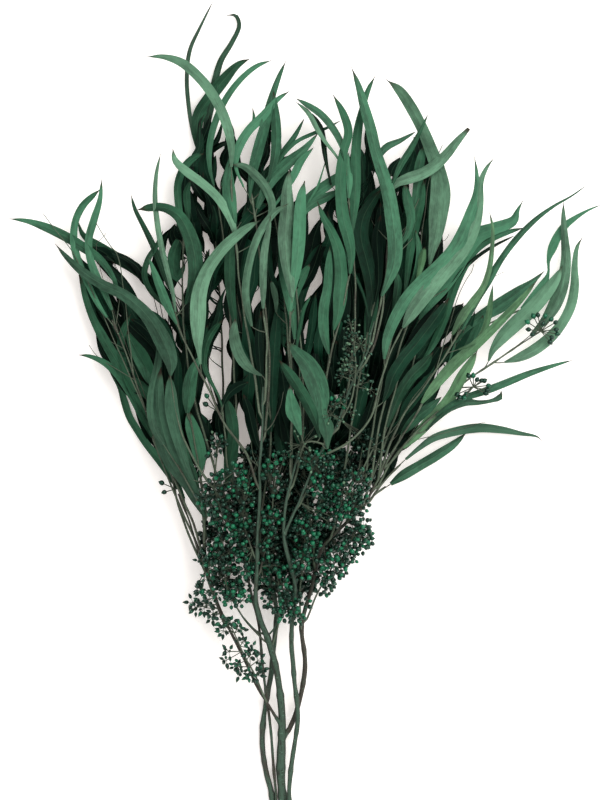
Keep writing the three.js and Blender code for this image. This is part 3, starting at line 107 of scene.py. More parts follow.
# Stems: the middle line as x, y, z, radius, the stubs of their forks as x, y, z of both ends and a
# radius, and side "forks" as a radius and x, y, z points
STEMS = {
  "stem_centre": {
    "tone": "green_bark",
    "line": [-18,-340,3.4,3.9, -18.5,-322,3.4,3.9, -19,-306,3.6,3.8, -20,-290,4.2,3.7, -20,-272,5.5,3.7,
      -19.8,-256,7,3.6, -19.5,-240,9,3.2, -20.5,-224,12,2.9, -23,-208,16,2.8, -27,-192,20,2.7,
      -31,-178,24,2.7, -36,-164,29,2.4, -40,-148,35,2, -40,-130,42,1.8, -39,-112,49,1.6, -38.5,-94,54,1.4,
      -37.5,-76,58,1.3, -37,-58,61,1.3, -37,-42,63,1.2, -35.5,-26,66,1.1, -34.6,-8,68,1, -34.8,12,69,1,
      -34,24,69,0.9],
    "stubs": [
      [-19.9,-262,6.6, -13.6,-252.6,7, 2],
      [-19.6,-250,8.4, -24.3,-242.6,11, 1.5],
    ],
    "forks": [
      [0.9, -33,-175,24, -40,-172,27, -46,-166,29, -54,-156,30],
      [0.9, -32,-177,23, -28,-173,25, -23,-166,27, -17,-157,28],
    ],
  },
  "stem_left": {
    "tone": "green_bark",
    "line": [-26.7,-338,2,2.3, -27.3,-322,2,2.3, -28,-306,2,2.3, -32,-290,2,2.3, -34.6,-272,2,2.3,
      -35,-256,3,2.3, -33.6,-238,4,2.2, -31,-222,5,2.2, -28,-208,6,2.2, -26.5,-194,7,2.2, -25,-176,10,2.1,
      -24,-158,14,2, -27,-138,19,1.9, -33,-116,22,1.8, -41,-94,25,1.7, -50,-72,27,1.6, -58,-50,28,1.5,
      -61,-40,28,1.3],
  },
  "stem_slender": {
    "tone": "bark",
    "line": [-23.5,-337,4.4,1.2, -24,-322,4.4,1.2, -24.6,-306,4.6,1.2, -25.8,-290,5,1.2,
      -26.6,-274,6.4,1.2, -27.8,-258,7.5,1.2, -30,-242,9.5,1.2, -32,-228,11,1.2, -33.5,-212,13,1.2,
      -35,-198,15,1.2, -36.5,-182,18,1.1, -39,-164,23,1.1, -43,-145,30,1.1, -47,-125,36,1.1,
      -53,-104,40,1.1, -59,-84,43,1.1, -65,-64,45,1.1, -70,-46,46,1],
  },
  "stem_right": {
    "tone": "green_bark",
    "line": [-11,-338,3,2, -12.3,-322,5.5,2, -13.8,-306,8.6,2, -12.4,-290,9,2, -10.5,-275,9,2,
      -8.6,-260,10,2, -7,-245,12,2, -7.2,-230,13.5,2, -8.8,-215,15,2, -10.2,-200,17,2, -12,-184,20,2,
      -11.5,-168,25,2, -9.5,-152,31,2, -8.5,-138,37,1.9, -11,-124,43,1.8, -15,-110,49,1.7,
      -17.5,-95,54,1.5, -17,-80,58,1.3, -15.5,-65,61,1.2, -12,-50,64,1.1, -8,-36,66,1, -4,-24,67,0.9],
    "stubs": [[-17.4,-93.5,54.5, -13.6,-84.8,56.2, 1.3]],
  },
  "branch_right": {
    "tone": "bark",
    "line": [-13.1,-251.9,7,2, -9.6,-244,6.2,2, -6.8,-236,5.8,2, -4,-226,5.8,2, -2,-214,6.4,2,
      -1,-202,7.4,2, -1.6,-190,9,2, -3,-178,12,1.9, -3.2,-168,15,1.9, -1.2,-158,18,1.8, 2,-146,21,1.7,
      6,-130,24,1.6, 10,-113,27,1.5, 16,-101,29,1.4, 24,-93,31,1.3, 32,-85,33,1.3, 40,-77,34,1.2,
      48,-68,34,1.2, 54,-57,34,1.2, 60,-46,33,1.1, 66,-35,32,1, 72,-25,31,0.9],
  },
  "branch_low_left": {
    "tone": "bark",
    "line": [-24.5,-242.2,11.2,1.4, -28,-236.6,13,1.3, -32,-229.5,15.4,1.2, -37,-221,17,1.2,
      -42,-211,17.5,1.2, -48,-199,17.5,1.2, -54,-187,17.5,1.2, -61,-173,17.5,1.2, -68,-157,18,1.2,
      -75,-139,21,1.2, -80,-120,25,1.2, -81.5,-102,30,1.2, -81.5,-84,34,1.2, -84,-66,35.5,1.1],
  },
  "branch_upper_right": {
    "tone": "green_bark",
    "line": [-13.4,-84.3,56.3,1.3, -10,-77,57.8,1.3, -6,-69,59.5,1.2, -2,-58,61.5,1.1, 2,-48,63,1.1,
      7,-36,64.5,1, 13,-26,66,1, 20,-15,68,1, 25,-5,69,1, 28.5,6,69.5,1, 33,19,70,1, 39,32,70,1,
      45,44,69,1, 49.5,54,68,0.9, 51,66,66.5,0.9, 54,76,65,0.9],
  },
}

# Sprays: the level, the stem, y and side in degrees that the twig leaves from, the leaves' colours,
# the twig as x, y points, and each leaf as x, y, width from its tip to its base. A lower leaf starts
# with its level. A "reach" is how far from its base a leaf comes to its own level
SPRAYS = {
  "leaves_left_mint": {
    "tone": "pale", "level": 12, "from": ["stem_centre", -52, -70], "tones": "pale mid pale fresh",
    "twig": [-52,-22, -64,-7, -82,33, -94,53, -101,71, -107,92],
    "leaves": [
      [-36,157,1, -45,152,5, -57,143,8, -69,131,9, -79,116,10, -85,98,12, -86,80,12.5, -86,64,9, -85,52,4,
       -84,42,2],
      [-135,166,2, -127,167.5,6, -115,168,7, -103,162,9, -95,150,11, -90,135,12, -88,118,12, -91,103,8,
       -96,90,2],
      [-116.5,212,0.8, -120,195,3, -121,175,4, -119,155,4.5, -116,138,4.5, -111,118,4, -106,98,3,
       -104,84,1.5],
      [-126,128,1, -121,115,5, -116,102,7, -111,90,7, -106,80,4, -103,74,1.5],
    ],
  },
  "leaves_left_olive": {
    "tone": "olive", "level": 11, "from": ["stem_slender", -66, -90], "tones": "olive olive",
    "twig": [-84,-44, -92,-30, -99,-12, -104,5, -107,26],
    "leaves": [
      [-202,139.5,1, -193,129,4, -180,117,7, -165,107,8, -145,97,9, -127,81,11, -114,60,14, -108,45,11,
       -108,33,2],
      [-109,34,2, -108,20,9, -107,5,11, -104,-10,10, -100,-25,8, -95,-40,5, -90,-50,2],
    ],
  },
  "leaves_left_broad": {
    "tone": "olive", "level": 9.8, "from": ["branch_low_left", -100, 0], "tones": "olive olive",
    "twig": [-83,-76, -89,-64, -95,-52, -103,-38],
    "leaves": [
      [-116,40,2, -118,25,8, -118,8,12, -115,-8,16, -110,-25,18, -103,-39,16, -95,-52,12, -89,-64,9,
       -84,-74,5, -81,-80,2],
      [-119,62,1, -118,48,5, -120,34,7, -123,20,7, -124,4,7, -121,-10,6, -114,-22,3],
    ],
  },
  "leaves_left_fresh": {
    "tone": "fresh", "level": 8.2, "from": ["branch_low_left", -80, 75], "tones": "fresh fresh mid",
    "twig": [-86,-40, -89,-18, -94,0, -96,12],
    "leaves": [
      [-84,50,1, -90,38,8, -93,26,11, -94,14,10, -95,3,3],
      [-94,4,3, -92,-6,10, -88,-18,12, -85,-30,11, -84,-40,5, -85,-47,1.5],
      [-100,-8,1, -98,-20,3, -94,-34,4, -89,-46,4, -86,-58,2],
    ],
  },
  "leaves_left_arching": {
    "tone": "mid", "level": 7.8, "from": ["stem_left", -80, 0], "tones": "mid mid dark",
    "twig": [-58,-58, -62,-46, -64,-25, -66,0, -68,12],
    "leaves": [
      [-66,78,1, -72,72,4, -78,63,6, -81,52,5, -81,40,4, -76,28,3, -70,17,2, -67,8,1.5],
      [-64,16,2, -60,2,9, -58,-14,9, -60,-30,11, -62,-44,8, -64,-56,1.5],
      [-46,28,1, -55,24,8, -62,18,6, -66,10,2],
    ],
    "rings": [[10, -71,5, -78,15, -78,9]],
  },
  "leaves_far_left_upper": {
    "tone": "mid", "level": 8, "from": ["branch_low_left", -110, -70], "tones": "fresh fresh fresh",
    "twig": [-94,-78, -104,-54, -114,-32, -123,-10, -132,14, -140,38, -148,60, -156,78],
    "leaves": [
      [-240,160,1, -225,158,4, -210,153,7, -195,146,8, -180,137,8, -165,126,6, -155,112,4, -150,98,2],
      [-165,184,1, -172,178,4, -180,170,5.5, -186,157,5.5, -187,140,6, -183,124,6, -176,108,5, -168,92,4,
       -160,80,2],
      [-164.5,192,1, -166,175,4, -171,158,6, -175,143,6, -174,128,6, -168,112,6, -162,100,5, -156,86,2],
    ],
  },
  "leaves_far_left_lower": {
    "tone": "mid", "level": 6.2, "from": ["branch_low_left", -118, -100], "tones": "mid mid mid",
    "twig": [-94,-90, -103,-68, -112,-46, -120,-26, -125,-10],
    "leaves": [
      [-141,83,1, -146,72,5, -149,60,6, -148,46,6, -144,32,6, -137,16,5, -129,2,4, -123,-10,2],
      [-184,50,1, -175,49,3, -163,44,5, -151,34,7, -141,18,6, -131,-2,5, -124,-16,2],
      [-182,115,3, -178,97,5, -172,80,6, -163,63,8, -152,44,9, -143,26,7, -132,5,5, -125,-10,2],
    ],
  },
  "leaves_far_left_teal": {
    "tone": "fresh", "level": 4.6, "from": ["branch_low_left", -122, -80],
    "tones": "fresh mid dark mid dark",
    "twig": [-94,-98, -103,-70, -110,-40, -116,-10, -121,12, -123,24],
    "leaves": [
      [-144,70,1, -139,60,8, -134,50,12, -129,40,12, -126,31,8, -123,24,2],
      [-140,32,2, -133,24,9, -125,16,8, -119,6,2],
      [-141,79,1, -133,74,8, -125,66,9, -119,56,6, -117,44,2],
    ],
    "lower": [
      [5, -145,69,2, -139,58,9, -133,48,13, -128,38,12, -123,30,6, -119,25,2],
      [5, -146,78,2, -138,70,8, -129,62,11, -121,52,10, -118,40,5, -118,30,2],
    ],
    "rings": [[6, -105,-58, -114,-54, -112,-60]],
  },
  "leaves_left_shadow": {
    "tone": "dark", "level": 0.6, "from": ["branch_low_left", -96, 160], "tones": "mid dark dark",
    "twig": [-86,-62, -94,-34, -101,0, -106,30, -113,55, -124,74],
    "leaves": [
      [-185,160,1, -181,148,4, -168,138,8, -152,128,9, -136,118,9, -122,104,8, -112,90,5, -108,76,2],
      [-176,140,1, -168,128,6, -157,117,9, -147,106,9, -139,94,7, -133,82,2],
      [-160,104,1, -157,95,5, -152,87,5, -145,80,2],
    ],
  },
  "leaves_left_low": {
    "tone": "deep", "level": 0, "from": ["branch_low_left", -142, 180], "reach": 80, "tones": "mid mid",
    "twig": [-88,-108, -92,-90, -98,-74, -103,-62],
    "leaves": [
      [-160,38,1, -151,24,4, -147,12,6, -143,0,6, -137,-10,6, -129,-22,6, -119,-34,7, -109,-47,7,
       -103,-58,3],
      [-117,-5,1, -113,-25,4, -108,-40,5, -103,-54,4, -98,-66,2],
    ],
  },
  "leaves_left_inner": {
    "tone": "mid", "level": 6.8, "from": ["stem_slender", -56, -120], "tones": "mid mid mid mid mid",
    "twig": [-78,-24, -86,0, -92,28, -97,60, -99,95, -99,125, -98,146],
    "leaves": [
      [-141,179,1, -138,168,3, -131,154,4, -124,140,5, -118,126,5, -113,112,4, -108,100,2],
      [-82,212,1, -90,209,5, -98,201,6, -103,188,6, -103,175,6, -101,160,5, -99,148,3],
      [-93,190,2, -96,180,6, -95,168,5, -94,157,2],
      [-115,150,1, -120,138,4, -127,127,5, -130,114,5, -124,100,4, -112,88,2],
    ],
    "lower": [[7.4, -97,122,2, -104,112,8, -106,130,10, -102,142,6]],
  },
  "leaves_top_left_dark": {
    "tone": "deep", "level": 1.2, "from": ["stem_left", -54, -90], "tones": "olive olive mid dark",
    "twig": [-66,-10, -67,20, -68,60, -70,100, -73,140, -77,180, -82,206],
    "leaves": [
      [-74.5,338,0.8, -86,315,2.5, -94,297,3.5, -96.5,275,3.5, -95,252,3.5, -91,228,3, -84,207,3,
       -77,185,1.5],
      [-64.5,325,1, -57,325,3, -54,317,3.5, -60,303,4, -69,288,5, -74,270,6, -77,254,7, -80,238,6,
       -83,222,3],
      [-45,290,1, -55,285,5, -67,272,9, -78,258,10, -87,243,10, -88,228,8, -84,212,3],
    ],
    "lower": [[8.6, -63,221,3, -71,218,5, -79,213,5, -86,208,3]],
  },
  "leaves_top_left_grey": {
    "tone": "mid", "level": 6, "from": ["stem_left", -66, 60], "tones": "fresh fresh mid",
    "twig": [-57,-28, -56,0, -58,40, -61,80, -64,120, -68,155, -72,180],
    "leaves": [
      [-27,288,1, -40,283,4, -54,271,5, -66,254,5.5, -74,235,5.5, -78,215,5, -77,198,3, -74,186,1.5],
      [-43,249,1, -42,240,2.5, -46,230,3, -54,221,3, -62,205,2.5, -68,186,1.5],
    ],
    "lower": [[7.5, -60,146,3, -61,128,8, -61,112,8.5, -60,96,7, -58,82,5, -56,70,2]],
  },
  "leaves_top_pale": {
    "tone": "pale", "level": 10.8, "from": ["stem_centre", 4, -100],
    "tones": "pale pale pale fresh deep mid",
    "twig": [-42,38, -47,70, -52,100, -55,130, -58,160, -60,190],
    "leaves": [
      [-129,290,1, -115,290,4, -100,285,7, -85,272,8, -72,254,8, -64,236,8, -60,218,6, -59.5,200,2],
      [-60,202,1, -50,201,5, -40,193,7, -31,181,7, -27,168,6, -31,155,3, -40,140,2],
      [-107,216,1, -105,206,5, -96,197,7, -84,188,7, -72,177,7, -63,164,7, -58,152,5, -56,142,2],
      [-61,203,2, -62,188,9, -61,174,11, -58,162,6, -57,150,2],
    ],
    "lower": [
      [7.2, -31,171,2, -38,168,6, -46,161,7, -54,151,4],
      [6.6, -12,207,8, -25,199,12, -35,186,12, -43,173,9, -50,160,4],
    ],
  },
  "leaves_centre_bright": {
    "tone": "fresh", "level": 12.4, "from": ["stem_centre", 14, 80], "tones": "pale pale pale",
    "twig": [-31.5,36, -31,52, -31.5,68, -34,84],
    "leaves": [
      [-14,170,1, -25,163,5, -35,150,6, -42,134,6, -46,118,6, -48,100,6, -46,84,5, -43,72,2],
      [-28,160,1, -30,148,4, -33,132,6, -34,115,6, -34,100,5, -34,86,2],
      [-56,78,2, -57,65,8, -54,52,9, -48,42,8, -41,36,4, -35,33,1.5],
    ],
  },
  "leaves_top_centre": {
    "tone": "mid", "level": 9.6, "from": ["stem_centre", -15, 110],
    "tones": "fresh fresh fresh fresh fresh deep",
    "twig": [-30,16, -29,44, -32,80, -36,120, -40,155, -44,180],
    "leaves": [
      [-16,287,1, -22,273,4, -28,255,6, -33,234,8, -38,216,9, -42,200,8, -44,186,4, -45,175,1.5],
      [-13,262,1, -23,255,4, -35,241,7, -46,230,7, -54,216,7, -56,200,3, -50,184,1.5],
      [-26,262,1, -25,248,6, -24,234,8, -24,218,8, -26,203,6, -30,188,2],
      [10,228,1, -2,214,6, -14,204,9, -25,193,9, -33,181,7, -39,167,3],
      [6,216,1, -4,205,6, -10,193,6, -17,180,3, -26,168,2],
    ],
    "lower": [[7, -44,197,2, -45,188,5, -45,178,5, -47,168,2]],
  },
  "leaves_centre_broad": {
    "tone": "fresh", "level": 10.6, "from": ["stem_right", -44, -70], "tones": "pale fresh mid fresh mid",
    "twig": [-12,-16, -11,15, -12,45, -13,70, -12,92],
    "leaves": [
      [-13,198,2, -15,182,8, -15,165,11, -17,145,11, -16,128,10, -13,110,8, -11,95,3],
      [-1,189,2, -4,174,8, -5,155,10, -6,135,10, -8,117,8, -11,100,5, -13,84,3],
      [4,97,1, -2,85,3, -5,70,3, -8,54,1.5],
    ],
    "lower": [
      [8.5, -18,140,6, -17,122,11, -15,106,10, -12,90,8, -10,76,5, -9,62,2],
      [8, 3,122,2, -2,114,7, -6,105,7, -8,96,4, -9,88,1.5],
    ],
  },
  "leaves_centre_deep": {
    "tone": "deep", "level": 6, "from": ["stem_centre", -84, 150], "tones": "deep dark dark deep",
    "twig": [-32,-55, -29,-30, -28,-8, -30,15],
    "leaves": [
      [-22,95,1, -24,70,8, -26,45,9, -27,22,8, -27,0,5, -28,-12,1.5],
      [-36,85,1, -38,65,6, -37,45,6, -35,25,3, -32,8,2],
      [-50,18,2, -46,5,8, -43,-8,7, -39,-22,4, -32,-34,2],
    ],
    "lower": [[5.5, -21,52,3, -24,36,9, -27,20,11, -27,8,7, -25,-3,2]],
  },
  "leaves_centre_shadow": {
    "tone": "dark", "level": 3.4, "from": ["stem_left", -98, 70], "tones": "dark deep dark deep",
    "twig": [-37,-70, -37,-40, -39,-10, -43,30, -50,65, -56,100, -60,132],
    "leaves": [
      [-55,112,1, -62,98,6, -62,85,8, -59,72,3],
      [-52,92,1, -48,74,6, -45,56,7, -43,40,5, -42,26,2],
      [-30,172,1, -40,165,6, -52,154,7, -60,142,3],
    ],
    "lower": [[4.2, -48,12,2, -46,0,7, -42,-14,8, -40,-28,4]],
  },
  "leaves_centre_arc": {
    "tone": "deep", "level": 7.3, "from": ["stem_right", -62, 150], "tones": "mid fresh pale",
    "twig": [-12,-36, -11,0, -13,40, -16,80, -19,120, -25,160, -31,184],
    "leaves": [
      [-1.5,240,1, -9,226,4, -19,212,5, -29,198,4, -34,186,2],
      [28,238.5,0.8, 18,233,2, 6,228,3, -8,221,3, -20,208,2.5, -28,192,1.5],
    ],
    "lower": [[6.5, -28,109,2, -25.5,101,5, -24,93,4, -24,84,1.5]],
  },
  "leaves_front_centre": {
    "tone": "mid", "level": 13.2, "from": ["stem_right", -33, 40], "thick": 0.6, "tones": "fresh mid fresh",
    "twig": [2,-19, 10,-19, 17,-22],
    "leaves": [
      [-14,60,2, -8,52,8, 1,42,14, 8,28,17, 12,14,13, 13,3,7, 16,-8,12, 17,-18,5, 17,-25,1.5],
      [-21,45,1.5, -13,34,8, -5,22,9, 3,8,9, 8,-4,6, 11,-16,2],
      [-13,24,1.5, -12,14,8, -10,4,12, -7,-4,7, -4,-14,1.5],
    ],
    "heads": [0,-34,13.8],
    "rays": [[-4, -22, 12.4, 15, 14]],
  },
  "leaves_long_centre": {
    "tone": "mid", "level": 13, "from": ["branch_upper_right", 60, 90], "tones": "fresh",
    "twig": [58,84, 60,95],
    "leaves": [
      [36,282,1, 42,266,5, 47,248,8, 52,230,9, 56,212,9, 61,196,10, 66,178,11, 69,158,12, 71,140,12,
       70,122,11, 65,107,6, 60,96,2],
    ],
  },
  "leaves_mid_upright": {
    "tone": "mid", "level": 11.3, "from": ["branch_upper_right", -20, -100], "tones": "mid mid fresh",
    "twig": [16,8, 16,28, 18,46, 24,66, 30,90, 34,112],
    "leaves": [
      [21,260,1, 30,243,6, 34,228,7, 30,212,7, 28,195,9, 28,175,9, 30,158,10, 34,142,9, 36,128,6, 35,114,2],
      [9,172,1, 14,159,5, 21,146,7, 26,132,9, 28,112,10, 27,95,11, 25,80,7, 22,69,1.5],
      [19,136,1, 18,120,6, 17,103,7, 14,86,8, 14,70,8, 16,58,5, 18,50,1.5],
    ],
    "rings": [[12.4, 20,8, 17,10, 20,13, 24,12, 28,12, 28,8]],
  },
  "leaves_mid_back": {
    "tone": "mid", "level": 9.6, "from": ["branch_upper_right", -8, 120], "tones": "mid fresh pale fresh",
    "twig": [32,14, 36,44, 39,76, 39,110, 37,145, 34,175, 32,198],
    "leaves": [
      [56,275,1, 50,263,4, 46,250,5, 42,232,7, 40,212,8, 40,192,8, 39,174,8, 38,160,5, 37,148,2],
      [-8,256,1, 2,250,5, 12,243,6, 22,231,6, 29,217,5, 32,203,2],
      [-8,253,1, 2,244,4, 9,231,4, 16,220,3, 25,208,2, 31,196,1.5],
      [34,212,1, 34,200,5, 35,188,5, 34,175,2],
    ],
  },
  "leaves_mid_shade": {
    "tone": "deep", "level": 6.8, "from": ["branch_right", -97, 0], "tones": "deep dark deep mid deep",
    "twig": [27,-74, 30,-50, 35,-15, 41,20, 46,50, 50,70, 54,90],
    "leaves": [
      [61,184,1, 53,173,7, 46,160,11, 44,145,12, 48,128,12, 52,110,11, 53,95,9, 51,82,6, 49,68,2],
      [60,162,2, 57,145,8, 58,125,8, 58,108,5, 55,92,2],
      [17,165,1, 20,154,4, 26,140,4, 36,120,3, 46,98,2, 50,80,1.5],
    ],
    "lower": [
      [5.2, 57,104,3, 54,94,9, 52,82,10, 50,70,7, 49,58,3],
      [4.4, 50,28,3, 45,16,9, 42,2,9, 40,-12,5, 38,-24,2],
    ],
  },
  "leaves_mid_shadow": {
    "tone": "dark", "level": 0.3, "from": ["branch_right", -106, 170],
    "tones": "dark dark deep dark deep dark",
    "twig": [22,-80, 23,-50, 25,-10, 29,30, 37,70, 47,105, 55,132],
    "leaves": [
      [45,213,2, 49,198,9, 52,182,10, 54,166,9, 55,150,6, 55,136,2],
      [55,52,2, 50,32,8, 45,12,9, 38,-8,6, 27,-26,2],
      [38,34,2, 36,14,6, 31,-4,7, 26,-24,2],
    ],
    "lower": [
      [4, 24,58,4, 22,44,10, 24,30,10, 26,18,6],
      [5.5, 60,185,3, 54,176,9, 48,166,10, 44,155,7, 41,145,3],
      [5, 60,170,3, 60,155,9, 59,140,10, 58,125,8, 57,112,3],
    ],
  },
  "leaves_cross_left": {
    "tone": "fresh", "level": 8.4, "from": ["stem_right", -54, 110], "tones": "fresh fresh fresh",
    "twig": [-5,-34, -2,0, -3,40, -6,80, -9,115, -12,138],
    "leaves": [
      [31,199,1, 22,190,8, 10,181,9, -2,170,8, -10,156,6, -13,142,2],
      [27,182,2, 16,176,7, 4,170,7, -5,160,5, -10,146,2],
      [16,206,0.8, 13,196,1.2, 9,184,2, 2,172,1.5, -6,156,1.2],
    ],
  },
  "leaves_cross_shadow": {
    "tone": "dark", "level": 4.6, "from": ["branch_right", -118, -60], "tones": "deep deep",
    "twig": [5,-94, 0,-60, -3,-20, -5,20, -5,60, -4,84],
    "leaves": [
      [18,143,1, 8,130,9, 2,115,9, -2,100,6, -4,86,2],
      [8,100,1, 6,84,6, 4,66,7, 0,48,5, -4,32,2],
    ],
  },
  "leaves_right_front": {
    "tone": "fresh", "level": 12, "from": ["branch_upper_right", -30, 110], "tones": "fresh pale deep",
    "twig": [28,-22, 39,-17, 47,-9, 52,3, 56,16, 60,32, 64,44, 70,58, 76,70],
    "leaves": [
      [135,211,1, 137,196,3, 137,180,6, 132,163,9, 126,147,11, 117,132,11, 105,119,11, 92,107,11,
       80,94,10, 70,77,9, 64,61,7, 62,46,2],
      [152,209,1, 145,200,3, 140,188,5, 139,172,7, 135,154,10, 127,137,12, 115,121,12, 103,107,12,
       92,94,12, 83,81,9, 77,71,2],
      [114,95,2, 106,82,8, 97,70,10, 87,57,10, 77,45,10, 69,32,10, 65,20,6, 61,12,1.5],
    ],
  },
  "leaves_right_rim": {
    "tone": "fresh", "level": 5.8, "from": ["branch_right", -54, 90], "tones": "pale pale pale",
    "twig": [76,-24, 92,-8, 105,8, 120,21, 130,30, 140,37, 158,48, 172,58],
    "leaves": [
      [208,174,0.8, 208,160,4, 209,145,6, 210,128,8, 208,112,10, 204,98,11, 199,87,10, 191,76,6, 181,66,2],
      [224,146,0.8, 219,137,3, 217,122,5, 217,106,7, 214,90,8, 207,76,8, 197,64,9, 184,54,9, 172,48,7,
       160,44,1.5],
      [207,122,1, 201,110,8, 192,98,11, 181,86,12, 169,75,12, 158,64,10, 150,53,5, 147,45,1.5],
    ],
    "rings": [
      [10.6, 134,24, 131,31, 134,31, 136,28, 139,28, 141,28, 144,25, 143,22, 142,20, 130,20, 128,17,
       125,17, 123,19],
      [10.2, 189,69, 180,75, 184,79, 187,80, 192,79, 196,77, 199,75, 199,70, 200,67, 196,65, 195,62,
       190,73, 184,67, 181,70],
    ],
  },
  "leaves_right_long": {
    "tone": "pale", "level": 11.8, "from": ["branch_right", -36, -20], "tones": "light mid",
    "twig": [78,-12, 85,-3, 90,5, 94,13],
    "leaves": [
      [186,110,1, 176,98,4, 163,84,6, 149,70,7, 134,56,8, 120,44,9, 107,30,8, 98,19,6, 92,11,2],
      [108,16,1, 99,8,7, 90,1,9, 82,-7,7, 76,-14,2],
    ],
  },
  "leaves_right_dark": {
    "tone": "deep", "level": 3.8, "from": ["branch_right", -56, 150], "tones": "fresh fresh mid fresh dark",
    "twig": [70,-36, 85,-14, 99,12, 109,30, 117,46, 124,60, 140,71, 158,80, 172,86],
    "leaves": [
      [193,118,1, 184,110,4, 172,101,9, 160,92,12, 150,86,11, 138,79,8, 128,71,6, 121,60,2],
      [240,172,0.8, 228,167,2, 218,161,4, 209,154,6, 203,145,7, 199,136,7, 196,126,3, 196,117,2,
       192,107,7, 184,97,7, 174,87,3],
      [143,82,2, 139,71,8, 134,60,10, 128,50,8, 121,40,2],
      [127,75,2, 125,63,7, 120,50,7, 113,36,2],
      [73,-22,2, 71,-31,7, 68,-39,8, 64,-47,5, 60,-53,2],
    ],
  },
  "leaves_right_broken": {
    "tone": "deep", "level": 6.4, "from": ["branch_right", -64, -90], "tones": "fresh mid deep",
    "twig": [59,-30, 69,-8, 78,20, 87,45, 90,76],
    "leaves": [
      [176,176,0.8, 171,167,3, 167,158,8, 152,152,10, 138,146,13, 127,134,15, 118,118,14, 108,103,12,
       98,90,8, 91,78,2],
      [178,153,1, 163,149,4, 148,143,6, 135,134,8, 125,118,8, 118,100,7, 112,80,6, 104,62,6, 97,50,3,
       89,40,2],
    ],
    "lower": [[5.2, 96,52,6, 88,40,12, 80,28,13, 74,14,9, 68,0,4]],
  },
  "leaves_right_narrow": {
    "tone": "pale", "level": 9.9, "from": ["branch_right", -42, -50], "tones": "fresh light light deep",
    "twig": [69,-14, 78,2, 86,13, 93,22, 99,31, 106,41, 113,52, 119,62, 124,70],
    "leaves": [
      [228,188,0.8, 214,178,1.5, 200,170,2.5, 185,159,4, 170,144,5, 157,127,5, 147,110,6, 138,95,5,
       131,82,4, 125,70,2],
      [147.5,165,1, 150,152,2.5, 149.5,136,3.5, 147,118,4.5, 142,104,5, 134,92,7, 125,80,7, 117,66,2.5],
      [150,106,0.8, 148,92,4, 146,79,5, 142,68,5, 134,59,3, 122,54,1.5],
    ],
    "lower": [[4.6, 104,20,3, 96,10,8, 88,2,8, 80,-6,5, 74,-14,2]],
  },
  "leaves_right_light": {
    "tone": "pale", "level": 8, "from": ["branch_right", -36, 60], "tones": "light fresh olive",
    "twig": [82,-18, 94,-7, 106,5],
    "leaves": [
      [138,54,1, 132,43,7, 125,32,9, 118,19,9, 110,8,9, 101,-1,9, 92,-11,8, 84,-20,4, 78,-25,1.5],
      [216,46,0.8, 200,41.5,3, 180,35,5, 160,27,6, 143,20.5,6, 128,15.5,5, 115,9,4, 104,1,2],
      [157,21,1.5, 156,16,5, 149,13,3, 138,11.5,4, 127,12,7, 115,7,6, 105,-2,3, 96,-11,1.5],
    ],
  },
  "leaves_right_mid": {
    "tone": "mid", "level": 9, "from": ["branch_right", -50, 0], "tones": "mid dark",
    "twig": [60,-26, 63,-8, 68,10, 73,28, 76,44],
    "leaves": [
      [102,52,1, 94,42,9, 84,32,9, 76,20,8, 70,6,5, 65,-8,2],
      [106,90,2, 98,79,8, 90,68,9, 83,57,7, 77,46,2],
    ],
  },
  "leaves_right_low": {
    "tone": "fresh", "level": 0, "from": ["branch_right", -76, 150], "reach": 75, "tones": "fresh",
    "twig": [58,-60, 64,-56],
    "leaves": [[130,-13,1, 120,-22,6, 106,-31,8, 92,-39,8, 78,-47,8, 68,-54,3]],
  },
  "leaves_right_drooping": {
    "tone": "mid", "level": 1.6, "from": ["branch_right", -66, 100], "reach": 60, "tones": "olive",
    "twig": [68,-46, 76,-38],
    "leaves": [
      [192,-21,0.8, 188,-16.5,1.5, 174,-13.5,3.5, 158,-10.5,6, 140,-9,7.5, 120,-12,7, 103,-17,6, 91,-25,4,
       80,-34,2],
    ],
  },
  "leaves_upper_right_pale": {
    "tone": "pale", "level": 9.7, "from": ["branch_right", -68, -30], "tones": "pale light deep deep",
    "twig": [53,-38, 57,-15, 62,10, 69,36, 77,62, 86,88, 93,106, 99,122],
    "leaves": [
      [64,272,1, 75,263,7, 84,250,9, 93,233,9, 100,216,10, 106,198,12, 108,180,16, 106,162,15, 104,146,11,
       101,133,6, 99,122,2],
      [95,136,2, 93,127,6, 91,117,4, 88,106,2],
    ],
    "lower": [
      [5.5, 112,84,7, 102,72,12, 90,60,13, 80,50,10, 72,40,5, 68,30,2],
      [4.8, 116,118,8, 104,106,12, 94,94,11, 86,84,7, 80,74,3],
    ],
  },
  "leaves_upper_right_cross": {
    "tone": "fresh", "level": 10.9, "from": ["branch_upper_right", 42, 110],
    "tones": "pale mid mid fresh dark dark fresh mid",
    "twig": [55,60, 59,76, 62,95, 64,122, 66,150, 66,178],
    "leaves": [
      [131,232,3, 122,222,6, 113,211,8, 104,202,9, 93,195,9, 82,191,9, 73,187,6, 67,180,2],
      [80,186,2, 82,172,7, 84,158,7, 80,144,4, 70,132,2],
      [98,243,1, 92,230,3, 84,215,5, 76,202,5, 69,186,2],
      [88,229,1, 76,222,4, 64,216,6, 58,206,4, 62,190,2],
    ],
    "lower": [
      [4.5, 50,214,4, 47,200,9, 47,186,10, 50,172,8, 53,158,4],
      [6, 74,206,4, 70,200,8, 68,194,5],
      [7.2, 79,187,2, 81,178,7, 83,168,8, 85,158,6, 88,148,2],
      [7.4, 94,214,5, 91,200,8, 90,186,8, 88,172,7, 84,158,3],
    ],
  },
  "leaves_upper_right_deep": {
    "tone": "deep", "level": 7.7, "from": ["branch_right", -80, 0], "tones": "mid mid mid",
    "twig": [46,-56, 50,-30, 56,5, 63,40, 71,72, 79,98],
    "leaves": [
      [95,192,1, 93,176,6, 89,160,8, 86,145,7, 83,128,6, 81,112,4, 79,98,2],
